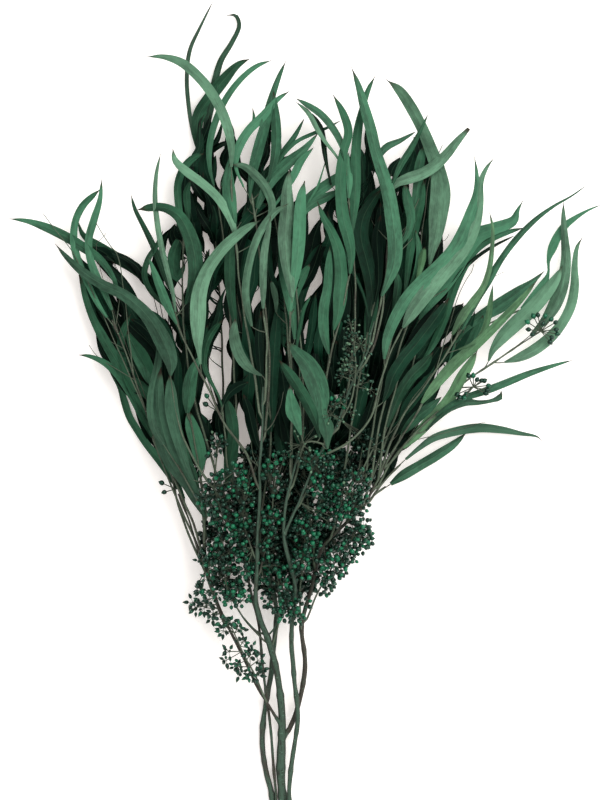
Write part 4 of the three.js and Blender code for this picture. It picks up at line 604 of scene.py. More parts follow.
      [88,150,1, 91,134,5, 89,118,5, 83,104,2],
    ],
    "lower": [[6.6, 72,117,2, 74,108,6, 73,98,6, 71,88,4, 69,78,2]],
  },
}

# Seed "heads": the stem, y and side that the stalk leaves from, the stalk as x, y, level points, and
# the middle of each head as x, y, level. A ring is its level, its middle and its capsules' places,
# and rays are x, y, level, length and number
SEEDS = {
  "seeds_low_left": {
    "from": ["branch_low_left", -226, 10], "capsule": "beaked",
    "stalk": [-42,-205,12.6, -48,-194,13, -54,-182,13, -60,-168,13],
    "heads": [-64,-189,9, -57,-201,8, -45,-190,13, -37,-194,14, -48,-208,12.5, -39,-206,13.6, -50,-179,13,
      -54,-168,13, -62,-163,12, -68,-172,9],
  },
  "seeds_left_tail": {
    "from": ["branch_low_left", -166, -60], "capsule": "beaked",
    "stalk": [-74,-146,9, -80,-138,9, -80,-128,11],
    "heads": [-77,-158,7, -84,-154,5, -91,-154,7, -79,-147,12, -86,-139,8, -78,-129,13, -70,-141,13,
      -84,-113,12, -76,-116,13.5],
    "rings": [[10, -81,-124, -83,-138, -85,-131, -83,-110]],
  },
  "seeds_left_lower": {
    "from": ["stem_centre", -178, -80],
    "stalk": [-46,-166,9.5, -54,-156,10.5, -62,-140,11, -66,-124,11.5, -66,-106,12],
    "heads": [-61,-147,13, -57,-134,9, -52,-146,12.5, -70,-126,9, -62,-120,13.5, -73,-106,8.5,
      -60,-108,13.5, -67,-97,13.5, -53,-137,12.8],
  },
  "seeds_left_upper": {
    "from": ["stem_slender", -92, -60],
    "stalk": [-66,-78,12, -70,-66,12.6, -74,-54,12.6],
    "heads": [-72,-48,13.6, -82,-62,12.6, -77,-70,13.4, -67,-62,13.6, -60,-66,13.4, -62,-80,13,
      -74,-82,12.4, -55,-42,13.3, -70,-20,10.4],
    "rays": [[-71, -21, 9, 8, 8]],
  },
  "seeds_centre_left": {
    "from": ["stem_centre", -110, -80],
    "stalk": [-46,-96,12.4, -50,-82,12.6, -50,-68,12.8, -49,-56,13],
    "heads": [-48,-52,13.6, -47,-64,13.8, -52,-76,13.6, -58,-92,13.6, -49,-90,13.8, -50,-104,13.6,
      -51,-114,13.2, -49,-124,13.4],
    "rays": [[-46, -62, 12.6, 8, 9]],
  },
  "seeds_centre": {
    "from": ["stem_centre", -124, 90],
    "stalk": [-34,-108,11.6, -29,-92,12, -27,-74,12.4, -26,-56,12.8],
    "heads": [-26,-46,13.4, -22,-57,13.4, -31,-78,13.4, -24,-80,13.6, -28,-92,13.4, -30,-104,13.4,
      -27,-118,12.8, -34,-130,11.6, -24,-34,13],
  },
  "seeds_centre_low": {
    "from": ["stem_centre", -182, 80],
    "stalk": [-26,-170,9.6, -21,-160,10, -20,-146,10.6, -22,-132,11],
    "heads": [-31,-146,10, -15,-146,12.4, -25,-152,13, -19,-134,13.6, -18,-158,13, -24,-122,8.8,
      -14,-132,8.4],
  },
  "seeds_centre_right": {
    "from": ["branch_right", -168, -20],
    "stalk": [-6,-152,8, -4,-138,8.6, -3,-122,9.4, -2,-106,10, 0,-90,10.6],
    "heads": [-9,-161,13.2, -2,-149,12.2, -5,-112,13.2, -2,-124,13, 3,-96,13.2, 9,-101,9.6, -4,-86,13.2,
      4,-82,12.8, 4,-112,12.6],
  },
  "seeds_right_lower": {
    "from": ["branch_right", -162, 80],
    "stalk": [5,-147,8, 12,-137,9, 17,-129,9.6, 22,-120,10.2, 27,-109,10.8, 33,-101,11, 39,-94,11.4],
    "heads": [14,-128,12, 20,-131,11, 30,-121,10.6, 17,-115,12.8, 25,-109,13, 35,-112,10.4, 33,-103,13,
      41,-103,11.6, 43,-93,12.8, 49,-94,9.6, 48,-85,12.6, 38,-88,9, 24,-120,13.4],
  },
  "seeds_right_upper": {
    "from": ["branch_right", -90, -20],
    "stalk": [33,-74,10.6, 36,-64,11.6, 38,-54,12.2, 42,-46,12.6],
    "heads": [36,-45,13.4, 43,-51,13.2, 38,-61,13.4, 29,-66,13.4, 22,-59,13.2, 27,-77,13.2, 37,-76,13,
      46,-72,12.6, 46,-61,12.8, 30,-52,12.6],
    "rays": [[33, -59, 13.6, 9, 11], [54, -24, 11, 9, 9]],
  },
  "seeds_centre_upper": {
    "from": ["branch_upper_right", -70, 150],
    "stalk": [5,-52,10.6, 9,-46,10.8, 12,-40,11.2],
    "heads": [15,-47,13, 17,-38,13.2, 9,-57,13.2, 14,-66,12.8, 10,-75,12.6, 19,-84,12.8, 18,-35,12.4,
      9,-42,9.4],
    "rays": [[5, -34, 13.2, 9, 9]],
  },
  "seeds_right_inner": {
    "from": ["branch_upper_right", -2, 60], "capsule": "pale",
    "stalk": [33,6,13, 37,18,13.2, 39,34,13.6, 39,46,13.4, 38,60,13.2],
    "heads": [34,47,13.6, 46,27,13, 29,42,13.4, 27,33,13.4, 36,62,13, 35,76,12.4, 43,58,12.6, 37,4,13.4,
      26,13,13.6],
    "rays": [[43, 57, 13.2, 10, 12], [39, 36, 13.4, 9, 10], [20, 2, 13, 8, 9]],
  },
}

# Openings that the floor shows through, as x, y, radius
OPENINGS = [
  -165,115,3, -159,108,3, -150,120,3, -146,113,3, -143,108,2, -141,114,2, -128,119,3, -133,104,3.5,
  -128,97,5, -123,93,4, -133,92,2, -117,86,3, -121,79,1.2, -115,109,1.6, -115,118,1.6, -112,128,2.4,
  -98,120,5, -96,108,3, -104,95,3, -104,104,2, -102,84,2, -84,127,1.5, -74,128,3, -76,90,3, -74,99,2,
  -77,82,1.5, -69,107,3, -69,99,2, -38,98,4, -42,90,2, -66,88,1.8, -65,78,1.5, -63,68,2, -70,62,4,
  -70,52,7, -66,44,6, -72,40,7, -66,33,7, -72,25,6, -67,17,3, -79,20,5.5, -81,10,5, -80,2,4.5, -76,6,4,
  -114,0,1.5, -113,-8,1.5, -104,64,2, -101,52,2, -107,68,1.5, -53,5,3, -53,-4,3, -50,-14,4.5, -48,-22,3.5,
  -40,-15,2, -38,-24,1.5, -36,-10,2, -72,-22,5, -74,-31,5, -74,-39,6, -25,-32,4, -155,94,1.5, -151,86,2,
  -150,82,1.5, -147,142,6, -140,152,8, -132,164,6, -112,186,8, -112,172,4, -110,135,3, -87,192,3,
  -91,180,2, -85,173,2.5, -75,231,3, -73,240,2, -70,216,3.5, -67,226,3, -69,198,3, -70,205,2, -71,190,2,
  -53,191,4, -52,180,4, -53,170,3, -28,225,1, -29,214,1.2, -31,202,1.6, -44,211,4, -40,222,3, -82,147,3,
  -80,140,2.5, -75,133,2.5, 2,201,8, 12,203,9, 19,204,6, -6,188,5, 14,193,5, 5,190,5, -9,180,3, 2,218,5,
  -4,214,4, 22,180,2, 13,167,3, 7,161,4, 4,155,3, 23,160,1.5, 14,146,2.5, 34,214,2.5, 45,222,3, 47,215,2,
  57,190,2.5, 62,165,1.5, 70,212,6, 63,204,3, 80,220,4, 75,181,2.5, 84,186,2, 90,212,2, 88,178,3, 92,148,1,
  -24,115,1.5, 10,114,3, 4,103,3, 9,105,2.5, -1,97,2.5, -3,92,1.5, 6,64,2.5, 5,59,1.5, 1,56,1.5, -1,70,1.5,
  -16,51,1.5, 26,17,3, 34,-20,4, 38,-28,4, 31,-25,3, 119,94,4, 106,86,2, 113,62,3, 108,36,4, 112,38,2,
  63,-35,4, 77,-35,4, 90,-5,2, -60,-50,4, -53,-20,5, -24,-60,4, -20,-48,3, 6,-64,3.5, 5,-77,3.5, -47,-88,4,
  8,-92,2.5, 30,-85,4, 25,-92,3, 33,-79,2, -58,-125,2.5, -44,-132,3, -48,-141,3, -66,-138,2, 59,-40,5,
  43,-77,3, -21,-141,2,
]
# Where the leaves lie close together, as x, y
LEAF_OUTLINE = [
  -88,-44, -124,-27, -140,4, -155,29, -166,50, -172,74, -179,104, -186,130, -172,140, -150,132, -130,122,
  -120,140, -101,165, -101,195, -92,210, -92,238, -80,250, -62,245, -56,225, -48,203, -36,240, -25,246,
  -20,215, -12,203, -2,180, 9,170, 24,190, 27,215, 40,224, 45,244, 55,240, 60,205, 75,195, 82,224, 95,224,
  105,205, 114,176, 110,150, 111,131, 122,128, 122,100, 140,84, 136,66, 120,44, 108,22, 104,0, 84,-24,
  60,-34,
]
# Where the capsules lie close together, as x, y
SEED_OUTLINE = [
  -81,-50, -82,-82, -82,-111, -78,-131, -68,-145, -54,-147, -45,-135, -35,-146, -20,-149, -11,-153, 2,-145,
  9,-125, 22,-121, 37,-108, 49,-88, 52,-70, 55,-38, 64,-31, 60,-11, 32,-11, 29,-24, 6,-27, -4,-11, -31,-11,
  -34,-25, -54,-27, -55,-45, -64,-55,
]

# Three more low leaves, as tone, level, and x, y, width from tip to base. Their nearly black tone is
# painted shade.
LOW_LEAVES = [
  ("dark", 9.4, [5,244,1, 9,238,3, 12.5,231,4, 14,222,4.5, 15,212,4, 17,200,2.5, 20,186,1.5]),
  ("dark", 7, [168,146,1, 150,137,2.5, 138,129,3, 126,118,3, 117,106,2]),
  ("dark", 6, [89,226,5, 92,214,8, 97,204,7, 98,194,4]),
]
# Bare twigs and curled stalks, as thickness, level, and x, y from where they grow
BARE_TWIGS = [
  (1.1, 9, [-187,131, -195,142, -203,152, -212,164]),
  (1.1, 9, [-152,131, -156,136, -163,146, -169,156]),
  (0.8, 8, [-169,139, -165,143, -161,148]),
  (0.8, 6, [-166,47, -171,52, -175,58]),
  (0.6, 6, [-167,66, -170,68]),
  (1.2, 7, [93,145, 96,168, 98,185, 101,197, 106,210, 110,219]),
  (0.7, 8, [144,108, 152,113, 160,117]),
  (0.9, 6, [123,98, 126,105, 130,112, 134,118, 135,123]),
  (0.8, 7, [121,66, 124,73, 127,80, 130,86, 135,87]),
  (0.7, 8, [109,141, 112,142, 115,147]),
  (1, 12.6, [-33,-12, -27,-6, -23,2, -20,10, -18,20]),
  (0.7, 6, [130,-8, 138,-5.5, 146,-4]),
  (0.9, 7, [70,-10, 79,4, 87,17, 92,23, 101,35]),
  (0.8, 12.8, [-37,-40, -50,-27, -60,-10]),
  (0.6, 12.8, [-37,-40, -42,-30, -44,-18]),
  (0.6, 12.6, [8,-6, 3,-14, -3,-22]),
]


# Where things are in the pile
def pile_height(x, y):
    """Height of the pile above the surface at a place."""
    along = np.exp(-(((y - MIDDLE_Y) / SPREAD_Y) ** 2))
    across = np.exp(-((x / SPREAD_X) ** 2))
    return EDGE_HEIGHT + MIDDLE_HEIGHT * along * across


def level_height(x, y, level):
    """Height of a level of the pile at a place."""
    return LOWEST + (pile_height(x, y) - LOWEST) * level / LAYERS


def ease(t):
    """Smooth step from 0 to 1."""
    s = np.clip(t, 0, 1)
    return s * s * (3 - 2 * s)


def unit(vectors):
    """Vectors of length 1."""
    return vectors / np.maximum(norm(vectors, axis=-1, keepdims=True), 1e-9)


def table(numbers, columns):
    """A list of numbers as rows."""
    return np.array(numbers, float).reshape(-1, columns)


def smooth_line(places, count):
    """Evenly spaced points of a smooth line through a few places."""
    places = np.asarray(places, float)
    padded = np.vstack([2 * places[0] - places[1], places, 2 * places[-1] - places[-2]])
    s = np.linspace(0, 1, 10, endpoint=False)[:, None]
    fine = []
    for p0, p1, p2, p3 in zip(padded, padded[1:], padded[2:], padded[3:]):
        pairs = (p0, p1), (p1, p2), (p2, p3)
        before, here, after = (max(norm(b - a), 1e-6) ** 0.5 for a, b in pairs)
        leaving = ((p1 - p0) / before - (p2 - p0) / (before + here) + (p2 - p1) / here) * here
        arriving = ((p2 - p1) / here - (p3 - p1) / (here + after) + (p3 - p2) / after) * here
        fine.append(
            (2 * s**3 - 3 * s**2 + 1) * p1
            + (s**3 - 2 * s**2 + s) * leaving
            + (3 * s**2 - 2 * s**3) * p2
            + (s**3 - s**2) * arriving
        )
    fine = np.vstack([*fine, places[-1:]])
    run = run_along(fine)
    at = np.linspace(0, run[-1], count + 1)
    return np.column_stack([np.interp(at, run, column) for column in fine.T])


def run_along(points):
    """Length of a line of points up to each of them."""
    steps = norm(np.diff(points, axis=0), axis=1)
    return np.concatenate([[0], np.cumsum(steps)])


def place_along(points, share):
    """The place a share of the way along a line of points."""
    at = min(max(share, 0), 1) * (len(points) - 1)
    i = min(int(at), len(points) - 2)
    return points[i] + (points[i + 1] - points[i]) * (at - i)


def share_nearest(points, place):
    """How far along a line of points it comes nearest to a place, which may be only x and y."""
    shares = np.linspace(0, 1, 101)
    places = np.array([place_along(points, share) for share in shares])
    return shares[np.argmin(norm(places[:, :len(place)] - place, axis=1))]


def across_of(tangent):
    """Side and upward directions across a line."""
    side = np.cross(tangent, (0, 0, 1))
    if norm(side) < 0.05:
        side = np.array((1.0, 0, 0))
    side = unit(side)
    return side, unit(np.cross(side, tangent))


def stem_row(name, y):
    """A stem's middle and radius at a place along the bunch, and the directions across it."""
    rows = table(STEMS[name]["line"], 4)
    i = min(max(int(np.searchsorted(rows[:, 1], y)), 1), len(rows) - 1)
    before, after = rows[i - 1], rows[i]
    row = before + (after - before) * (y - before[1]) / (after[1] - before[1])
    return row, across_of(unit(after[:3] - before[:3]))


def stem_place(leaving):
    """The point inside a stem that a twig or stalk grows from."""
    name, y, _ = leaving
    return stem_row(name, y - 5)[0][:3]


def leave_stem(leaving, radius):
    """Where a twig or stalk leaves a stem: two points beside it."""
    name, y, degrees = leaving
    turn = math.radians(degrees)
    points = []
    for height in (y, y + LEAVING_LENGTH):
        row, (side, up) = stem_row(name, height)
        away = row[3] + radius + GAP
        points.append(row[:3] + side * math.sin(turn) * away + up * math.cos(turn) * away)
    return points


# Meshes
# The last tone, dark, is painted shade: nearly black leaves stand for leaves deep in the shade of the pile.
LEAF_TONES = "pale", "light", "fresh", "mid", "olive", "deep", "dark"
TWIG, CAPSULE, PALE_CAPSULE, LEAF = 0, 1, 2, 3  # places in a spray's list of materials


def placed(name, data):
    """A new object in the scene."""
    made = bpy.data.objects.new(name, data)
    bpy.context.scene.collection.objects.link(made)
    return made


class Growth:
    """The vertices, faces, materials and surface values of one piece while it grows."""

    def __init__(self, materials):
        self.materials = list(materials.values())
        self.places, self.faces, self.looks = [], [], []
        self.grains, self.shares = [], []
        self.count = 0

    def add(self, places, faces, look, grain, share):
        """Adds a closed surface. Its grain is across, along and seed, its share edge, along and tone."""
        places = np.asarray(places, float)
        self.places.append(places)
        self.faces.extend((face + self.count).tolist() for face in faces)
        self.looks.extend([look] * len(faces))
        self.grains.append(np.broadcast_to(grain, places.shape))
        self.shares.append(np.broadcast_to(share, places.shape))
        self.count += len(places)

    def finish(self, name, node):
        """Makes the mesh object, which stands for a CAD node."""
        mesh = bpy.data.meshes.new(name)
        places = np.vstack(self.places) * MM
        places[:, 2] = np.maximum(places[:, 2], 0)
        mesh.from_pydata(places.tolist(), [], self.faces)
        used = sorted(set(self.looks))
        for look in used:
            mesh.materials.append(self.materials[look])
        mesh.polygons.foreach_set("material_index", [used.index(look) for look in self.looks])
        mesh.polygons.foreach_set("use_smooth", [True] * len(self.faces))
        for title, values in (("grain", self.grains), ("share", self.shares)):
            attribute = mesh.attributes.new(title, "FLOAT_VECTOR", "POINT")
            attribute.data.foreach_set("vector", np.vstack(values).astype(np.float32).ravel())
        mesh.set_sharp_from_angle(angle=math.radians(55))
        mesh.validate()
        mesh.update()
        piece = placed(name, mesh)
        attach(piece, "root")
        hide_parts(node)


def ring_faces(rings, sides):
    """Quads between rings of points, with end faces."""
    i, j = np.meshgrid(np.arange(rings - 1), np.arange(sides), indexing="ij")
    i, j = i.ravel(), j.ravel()
    k = (j + 1) % sides
    here, onward = i * sides, (i + 1) * sides
    quads = list(np.column_stack([here + j, here + k, onward + k, onward + j]))
    return [*quads, np.arange(sides)[::-1], np.arange(sides) + (rings - 1) * sides]


def tube(growth, line, radii, sides, look, seed, tone):
    """A round tube along a line, closed at both ends."""
    line = np.asarray(line, float)
    radii = np.broadcast_to(radii, (len(line),))
    tangents = unit(np.gradient(line, axis=0))
    side = across_of(tangents[0])[0]
    angles = np.linspace(0, 2 * math.pi, sides, endpoint=False)
    rings = []
    for point, tangent, radius in zip(line, tangents, radii):
        side = unit(side - tangent * np.dot(side, tangent))
        up = np.cross(tangent, side)
        rings.append(point + radius * (np.outer(np.cos(angles), side) + np.outer(np.sin(angles), up)))
    run = np.repeat(run_along(line), sides)
    round_by = np.tile(angles / (2 * math.pi), len(line))
    grain = np.column_stack([round_by * 6, run, np.full_like(run, seed)])
    share = np.column_stack([round_by, run / max(run[-1], 1e-6), np.full_like(run, tone)])
    growth.add(np.vstack(rings), ring_faces(len(line), sides), look, grain, share)


# What the bunch covers, seen from above
CELL = 2  # size of a cell
CELLS = (260, 360)  # how many cells there are each way
COVER_LOW = np.array((-260, -360))  # corner of the first cell


class Cover:
    """Which cells of the bunch are covered, seen from above."""

    def __init__(self):
        self.full = np.zeros(CELLS, bool)

    def mark(self, places, radius):
        """Covers the cells around places."""
        steps = np.arange(-radius, radius + 0.1, CELL / 2)
        for dx in steps:
            for dy in steps:
                if dx * dx + dy * dy <= radius * radius:
                    cells = ((places + (dx, dy) - COVER_LOW) / CELL).astype(int)
                    self.full[cells[:, 0], cells[:, 1]] = True

    def mark_leaf(self, flat, width):
        """Covers the cells under a leaf."""
        direction = unit(np.gradient(flat, axis=0))
        across = np.column_stack([direction[:, 1], -direction[:, 0]])
        for s in np.linspace(-1, 1, 9):
            self.mark(flat + across * (width / 2 * s)[:, None], 0.9)

    def bare(self, place):
        """Whether nothing covers a place."""
        cell = ((place - COVER_LOW) / CELL).astype(int)
        return not self.full[cell[0], cell[1]]


def edge_distance(place, outline):
    """How far inside an outline a place is, below zero outside it."""
    a = table(outline, 2)
    b = np.roll(a, -1, axis=0)
    along = b - a
    t = np.clip(((place - a) * along).sum(1) / (along**2).sum(1), 0, 1)
    distance = norm(a + along * t[:, None] - place, axis=1).min()
    crossing = (a[:, 1] > place[1]) != (b[:, 1] > place[1])
    steps = np.where(crossing, b[:, 1] - a[:, 1], 1)
    at = a[:, 0] + (place[1] - a[:, 1]) / steps * along[:, 0]
    inside = (crossing & (at > place[0])).sum() % 2
    return distance if inside else -distance


def room_at(place, outline):
    """How far a place is from the outline and from the openings that the floor shows through."""
    openings = table(OPENINGS, 3)
    clear = (norm(openings[:, :2] - place, axis=1) - openings[:, 2]).min()
    return min(clear, edge_distance(place, outline))


def bare_places(outline, room, dice):
    """Places inside an outline that may be filled, in a mixed order."""
    xs, ys = (np.arange(row.min(), row.max(), FILL_SPACING) for row in table(outline, 2).T)
    places = [np.array((x, y)) for x in xs for y in ys]
    dice.shuffle(places)
    return [place for place in places if room_at(place, outline) > room]


class Flow:
    """Which way the leaves run at a place."""

    def __init__(self):
        self.places, self.ways = [], []

    def add(self, flat):
        """Takes in a leaf's middle line."""
        self.places.append(flat)
        self.ways.append(unit(np.gradient(flat, axis=0)))

    def at(self, place):
        """The way that the leaves around a place run."""
        places, ways = np.vstack(self.places), np.vstack(self.ways)
        away = norm(places - place, axis=1)
        near = np.argsort(away)[:NEIGHBOURS]
        weights = 1 / (away[near] + 3) ** 2
        return unit((ways[near] * weights[:, None]).sum(0))


def around_openings(place, way):
    """A way turned so that it doesn't run into an opening or out of the outline."""
    room = room_at(place, LEAF_OUTLINE)
    if room > TURN_AWAY:
        return way
    steps = np.eye(2)
    slope = unit(np.array([room_at(place + step, LEAF_OUTLINE) - room for step in steps]))
    towards = min(np.dot(way, slope), 0)
    return unit(way - slope * towards * (1.15 - max(room, 0) / TURN_AWAY))


def hidden_leaf(start, flow, dice):
    """Rows of a leaf through a place, which runs as the leaves around it do and keeps off openings."""
    halves = []
    for sign, reach in ((-1, dice.uniform(20, 34)), (1, dice.uniform(26, 50))):
        place, half = start, []
        for _ in range(int(reach / HIDDEN_STEP)):
            place = place + around_openings(place, flow.at(place) * sign) * HIDDEN_STEP
            if room_at(place, LEAF_OUTLINE) < HIDDEN_LEAST_ROOM:
                break
            half.append(place)
        halves.append(half)
    line = np.array([*halves[0][::-1], start, *halves[1]])
    if len(line) < FEWEST_STEPS:
        return None
    share = np.linspace(0, 1, len(line))
    lens = np.sin(math.pi * share**0.75)
    rooms = np.array([room_at(place, LEAF_OUTLINE) for place in line])
    widest = min(dice.uniform(7, 12), ((2 * rooms + 0.8) / np.maximum(lens, 0.25)).min())
    if widest < NARROWEST:
        return None
    kept = np.unique(np.append(np.arange(0, len(line), 3), len(line) - 1))
    return np.column_stack([line, widest * lens + 0.4])[kept][::-1]


@functools.cache
def hidden_leaves():
    """The leaves under the others that fill the bunch out, for each spray that they grow on."""
    dice = random.Random(11)
    cover, flow = Cover(), Flow()
    upper = [leaf for spray in SPRAYS.values() for leaf in spray["leaves"]]
    lower = [leaf[1:] for spray in SPRAYS.values() for leaf in spray.get("lower", [])]
    for leaf in upper + lower + [leaf for _, _, leaf in LOW_LEAVES]:
        flat, _, width, _ = blade_line(leaf, 1, 0, 1)
        cover.mark_leaf(flat, width)
        flow.add(flat[::3])
    grown = {name: [] for name in SPRAYS}
    for place in bare_places(LEAF_OUTLINE, HIDDEN_ROOM, dice):
        if not cover.bare(place):
            continue
        rows = hidden_leaf(place, flow, dice)
        if rows is None:
            continue
        cover.mark_leaf(rows[:, :2], rows[:, 2])
        grown[nearest_spray(rows[-1, :2], HIDDEN_CLIMB)].append(rows)
    return grown


@functools.cache
def twigs():
    """The twig of every spray."""
    return {name: twig_line(spray) for name, spray in SPRAYS.items()}


def nearest_spray(place, climb=0.0):
    """The spray whose twig comes nearest to a place. A climb makes high twigs count as farther."""
    away = {
        name: norm(twig[:, :2] - place, axis=1).min() + climb * SPRAYS[name]["level"]
        for name, twig in twigs().items()
    }
    return min(away, key=away.get)


@functools.cache
def hidden_umbels():
    """Places of the umbels under the others that fill the seed heads out, for each stalk."""
    dice = random.Random(12)
    cover, stalks = Cover(), {}
    for name, seeds in SEEDS.items():
        stalks[name] = table(seeds["stalk"], 3)[:, :2]
        cover.mark(table(seeds["heads"], 3)[:, :2], UMBEL_COVER)
    grown = {name: [] for name in SEEDS}
    for place in bare_places(SEED_OUTLINE, LOW_UMBEL_ROOM, dice):
        if not cover.bare(place):
            continue
        cover.mark(place[None, :], LOW_UMBEL_COVER)
        away = {name: norm(stalk - place, axis=1).min() for name, stalk in stalks.items()}
        grown[min(away, key=away.get)].append((*place, dice.uniform(0.5, 6)))
    return grown


# Leaves
COLUMNS = np.array([-1, -0.9, -0.55, -0.14, 0, 0.14, 0.55, 0.9, 1])
HIDDEN_COLUMNS = np.array([-1, -0.6, 0, 0.6, 1])


def blade_line(leaf, level, base_height, reach):
    """Points, widths and run of a leaf's middle line, from its base to its tip."""
    rows = table(leaf, 3)[::-1]
    length = run_along(rows[:, :2])[-1]
    line = smooth_line(rows, int(np.clip(length / 3, 14, 60)))
    run = run_along(line[:, :2])
    own = level_height(*line.T[:2], level)
    height = base_height + (own - base_height) * ease(run / reach)
    return line[:, :2], height, np.maximum(line[:, 2], 0.4), run


def blade_relief(flat, width, half, run, s, settings, dice):
    """How a blade swells along its run, and how far it leans, folds and waves across it."""
    v = run / run[-1]
    room = 0.6 + 0.045 * pile_height(*flat.T)
    steep = 1.9 if width.max() < NARROW else 1
    lean = dice.choice((-1, 1)) * dice.uniform(0.35, 1) * settings.bank * steep
    turn = dice.uniform(-0.7, 0.7) * settings.bank
    bank = np.tan(np.clip(lean + turn * (2 * v - 1), -1.05, 1.05))
    fold = settings.fold * dice.uniform(0.3, 1) * dice.choice((1, 1, -1))
    wave = dice.uniform(0.2, 1) * settings.ripple / MM
    pitch, phase = dice.uniform(22, 48), dice.uniform(0, TURN)
    swell = np.sin(run / dice.uniform(24, 40) + phase) * 0.5 * ease(v * 5)
    lift = np.clip(half * bank, -room, room)[:, None] * s
    lift = lift + fold * half[:, None] * (np.abs(s) ** 1.35 - 0.45)
    ruffle = np.sin(run / pitch * 2 * math.pi + phase)[:, None] * np.sign(s)
    ruffle = ruffle + 0.6 * np.cos(run / pitch * 4.1)[:, None]
    return swell[:, None], lift + wave * ruffle * s**2 * np.minimum(half, 3)[:, None] / 3


def grow_leaf(
    growth, leaf, level, joint, base_height, tone, settings, dice, reach=SETTLE_LENGTH, columns=COLUMNS
):
    """A thin curled blade on its petiole, which comes to its own level over its reach."""
    flat, height, width, run = blade_line(leaf, level, base_height, reach)
    s, v = columns[None, :], run / run[-1]
    half = width / 2
    if leaf[2] < BLUNT:
        half = half * (1 - 0.75 * ease((v - 0.93) / 0.07))
    swell, lift = blade_relief(flat, width, half, run, s, settings, dice)
    direction = unit(np.gradient(flat, axis=0))
    x = flat[:, :1] + direction[:, 1:] * half[:, None] * s
    y = flat[:, 1:] - direction[:, :1] * half[:, None] * s
    z = height[:, None] + swell + lift
    thick = settings.thickness / MM * (1 - 0.4 * s**2) * (0.4 + 0.6 * np.minimum(half, 2) / 2)[:, None]
    rib = 0.55 * (1 - 0.8 * v)[:, None] * np.exp(-((s * half[:, None] / 0.55) ** 2))
    top = np.stack([x, y, z + 0.12 * rib], -1)
    under = np.stack([x, y, z - thick - rib], -1)
    under[..., 2] = np.maximum(under[..., 2], 0.1)
    top[..., 2] = np.maximum(top[..., 2], under[..., 2] + thick)
    seed, shade = dice.uniform(0, GRAINS), dice.uniform(0.2, 0.85)
    look = LEAF + LEAF_TONES.index(tone)
    grain = np.stack([s * half[:, None], run[:, None] + 0 * s, np.full_like(x, seed)], -1)
    share = np.stack([np.abs(s) + 0 * x, v[:, None] + 0 * s, np.full_like(x, shade)], -1)
    growth.add(*blade_surface(top, under), look, doubled(grain), doubled(share))
    stalk_look = TWIG if columns is COLUMNS else look
    grow_petiole(growth, joint, top[:4, len(columns) // 2], stalk_look, seed, shade)


def doubled(values):
    """The same values for both sides of a blade."""
    flat = values.reshape(-1, 3)
    return np.vstack([flat, flat])


def blade_surface(top, under):
    """Vertices and faces of a closed thin blade from its upper and lower points."""
    rows, columns = top.shape[:2]
    index = np.arange(rows * columns).reshape(rows, columns)
    a, b, c, d = index[:-1, :-1], index[:-1, 1:], index[1:, 1:], index[1:, :-1]
    upper = np.stack([a, b, c, d], -1).reshape(-1, 4)
    shift = rows * columns
    lower = upper[:, ::-1] + shift
    rim = np.concatenate([index[0], index[1:, -1], index[-1, -2::-1], index[-2:0:-1, 0]])
    after = np.roll(rim, -1)
    edge = np.column_stack([rim + shift, after + shift, after, rim])
    places = np.vstack([top.reshape(-1, 3), under.reshape(-1, 3)])
    return places, list(np.vstack([upper, lower, edge]))


def grow_petiole(growth, joint, base, look, seed, tone):
    """The stalk of a leaf, from its twig into the underside of the blade."""
    base = base - (0, 0, PETIOLE_RADIUS * 0.7)
    middle = (joint + base[0]) / 2 - (base[1] - base[0]) * 0.4
    line = smooth_line([joint, middle, base[0], base[2]], 9)
    radii = PETIOLE_RADIUS * np.linspace(0.9, 0.35, len(line))
    tube(growth, line, radii, 6, look, seed, tone)


def jointed(start, flat, heights):
    """The line of a twig or stalk from where it leaves its stem, in evenly spaced steps."""
    line = np.vstack([start, np.column_stack([flat, heights])])
    return smooth_line(line, max(2, round(run_along(line)[-1] / JOINT_SPACING)))


def twig_line(spray):
    """The points of a spray's twig."""
    start = leave_stem(spray["from"], TWIG_RADIUS)
    flat = table(spray["twig"], 2)
    heights = level_height(*flat.T, spray["level"] + SPRAY_LIFT)
    if "reach" in spray:
        settle = ease((np.arange(len(flat)) + 1) / (len(flat) + 1)) * 0.25
        heights = start[1][2] + (heights - start[1][2]) * settle
    return jointed(start, flat, heights)


def rounded(points, spacing, wobble, dice):
    """A line of points made finer, with small bends."""
    count = max(3, int(run_along(points)[-1] / spacing))
    line = smooth_line(points, count)
    phase = dice.uniform(0, TURN)
    at = run_along(line)
    hold = np.sin(np.linspace(0, math.pi, len(line)))
    line[:, 0] += wobble * hold * np.sin(at / 5.5 + phase)
    line[:, 2] += wobble * hold * np.cos(at / 7.5 + phase)
    return line


def leaf_joint(twig, base):
    """Where on its twig the stalk of a leaf with a given base starts, clear of the openings."""
    length = run_along(twig)[-1]
    nearest = share_nearest(twig, base)
    away = norm(place_along(twig, nearest)[:2] - base)
    openings = table(OPENINGS, 3)
    best, fewest = None, 99
    for back in (1.3, 0.9, 1.8, 2.5, 0.5, 3.5):
        joint = place_along(twig, max(nearest - max(PETIOLE_LENGTH, away * back) / length, 0.02))
        between = joint[:2] + (base - joint[:2]) * np.linspace(0.1, 0.95, 8)[:, None]
        gaps = norm(between[:, None] - openings[None, :, :2], axis=2) < openings[:, 2] + 0.5
        if gaps.any(axis=1).sum() < fewest:
            best, fewest = joint, gaps.any(axis=1).sum()
    return best


def tapered(leaf):
    """The rows of a leaf with a tip put before them where they start wide."""
    (x, y, width), (x2, y2, _) = leaf[:3], leaf[3:6]
    if width <= BLUNT:
        return leaf
    onward = unit(np.array((x - x2, y - y2), float)) * (width * 0.9)
    return [x + onward[0], y + onward[1], 0.8, *leaf]


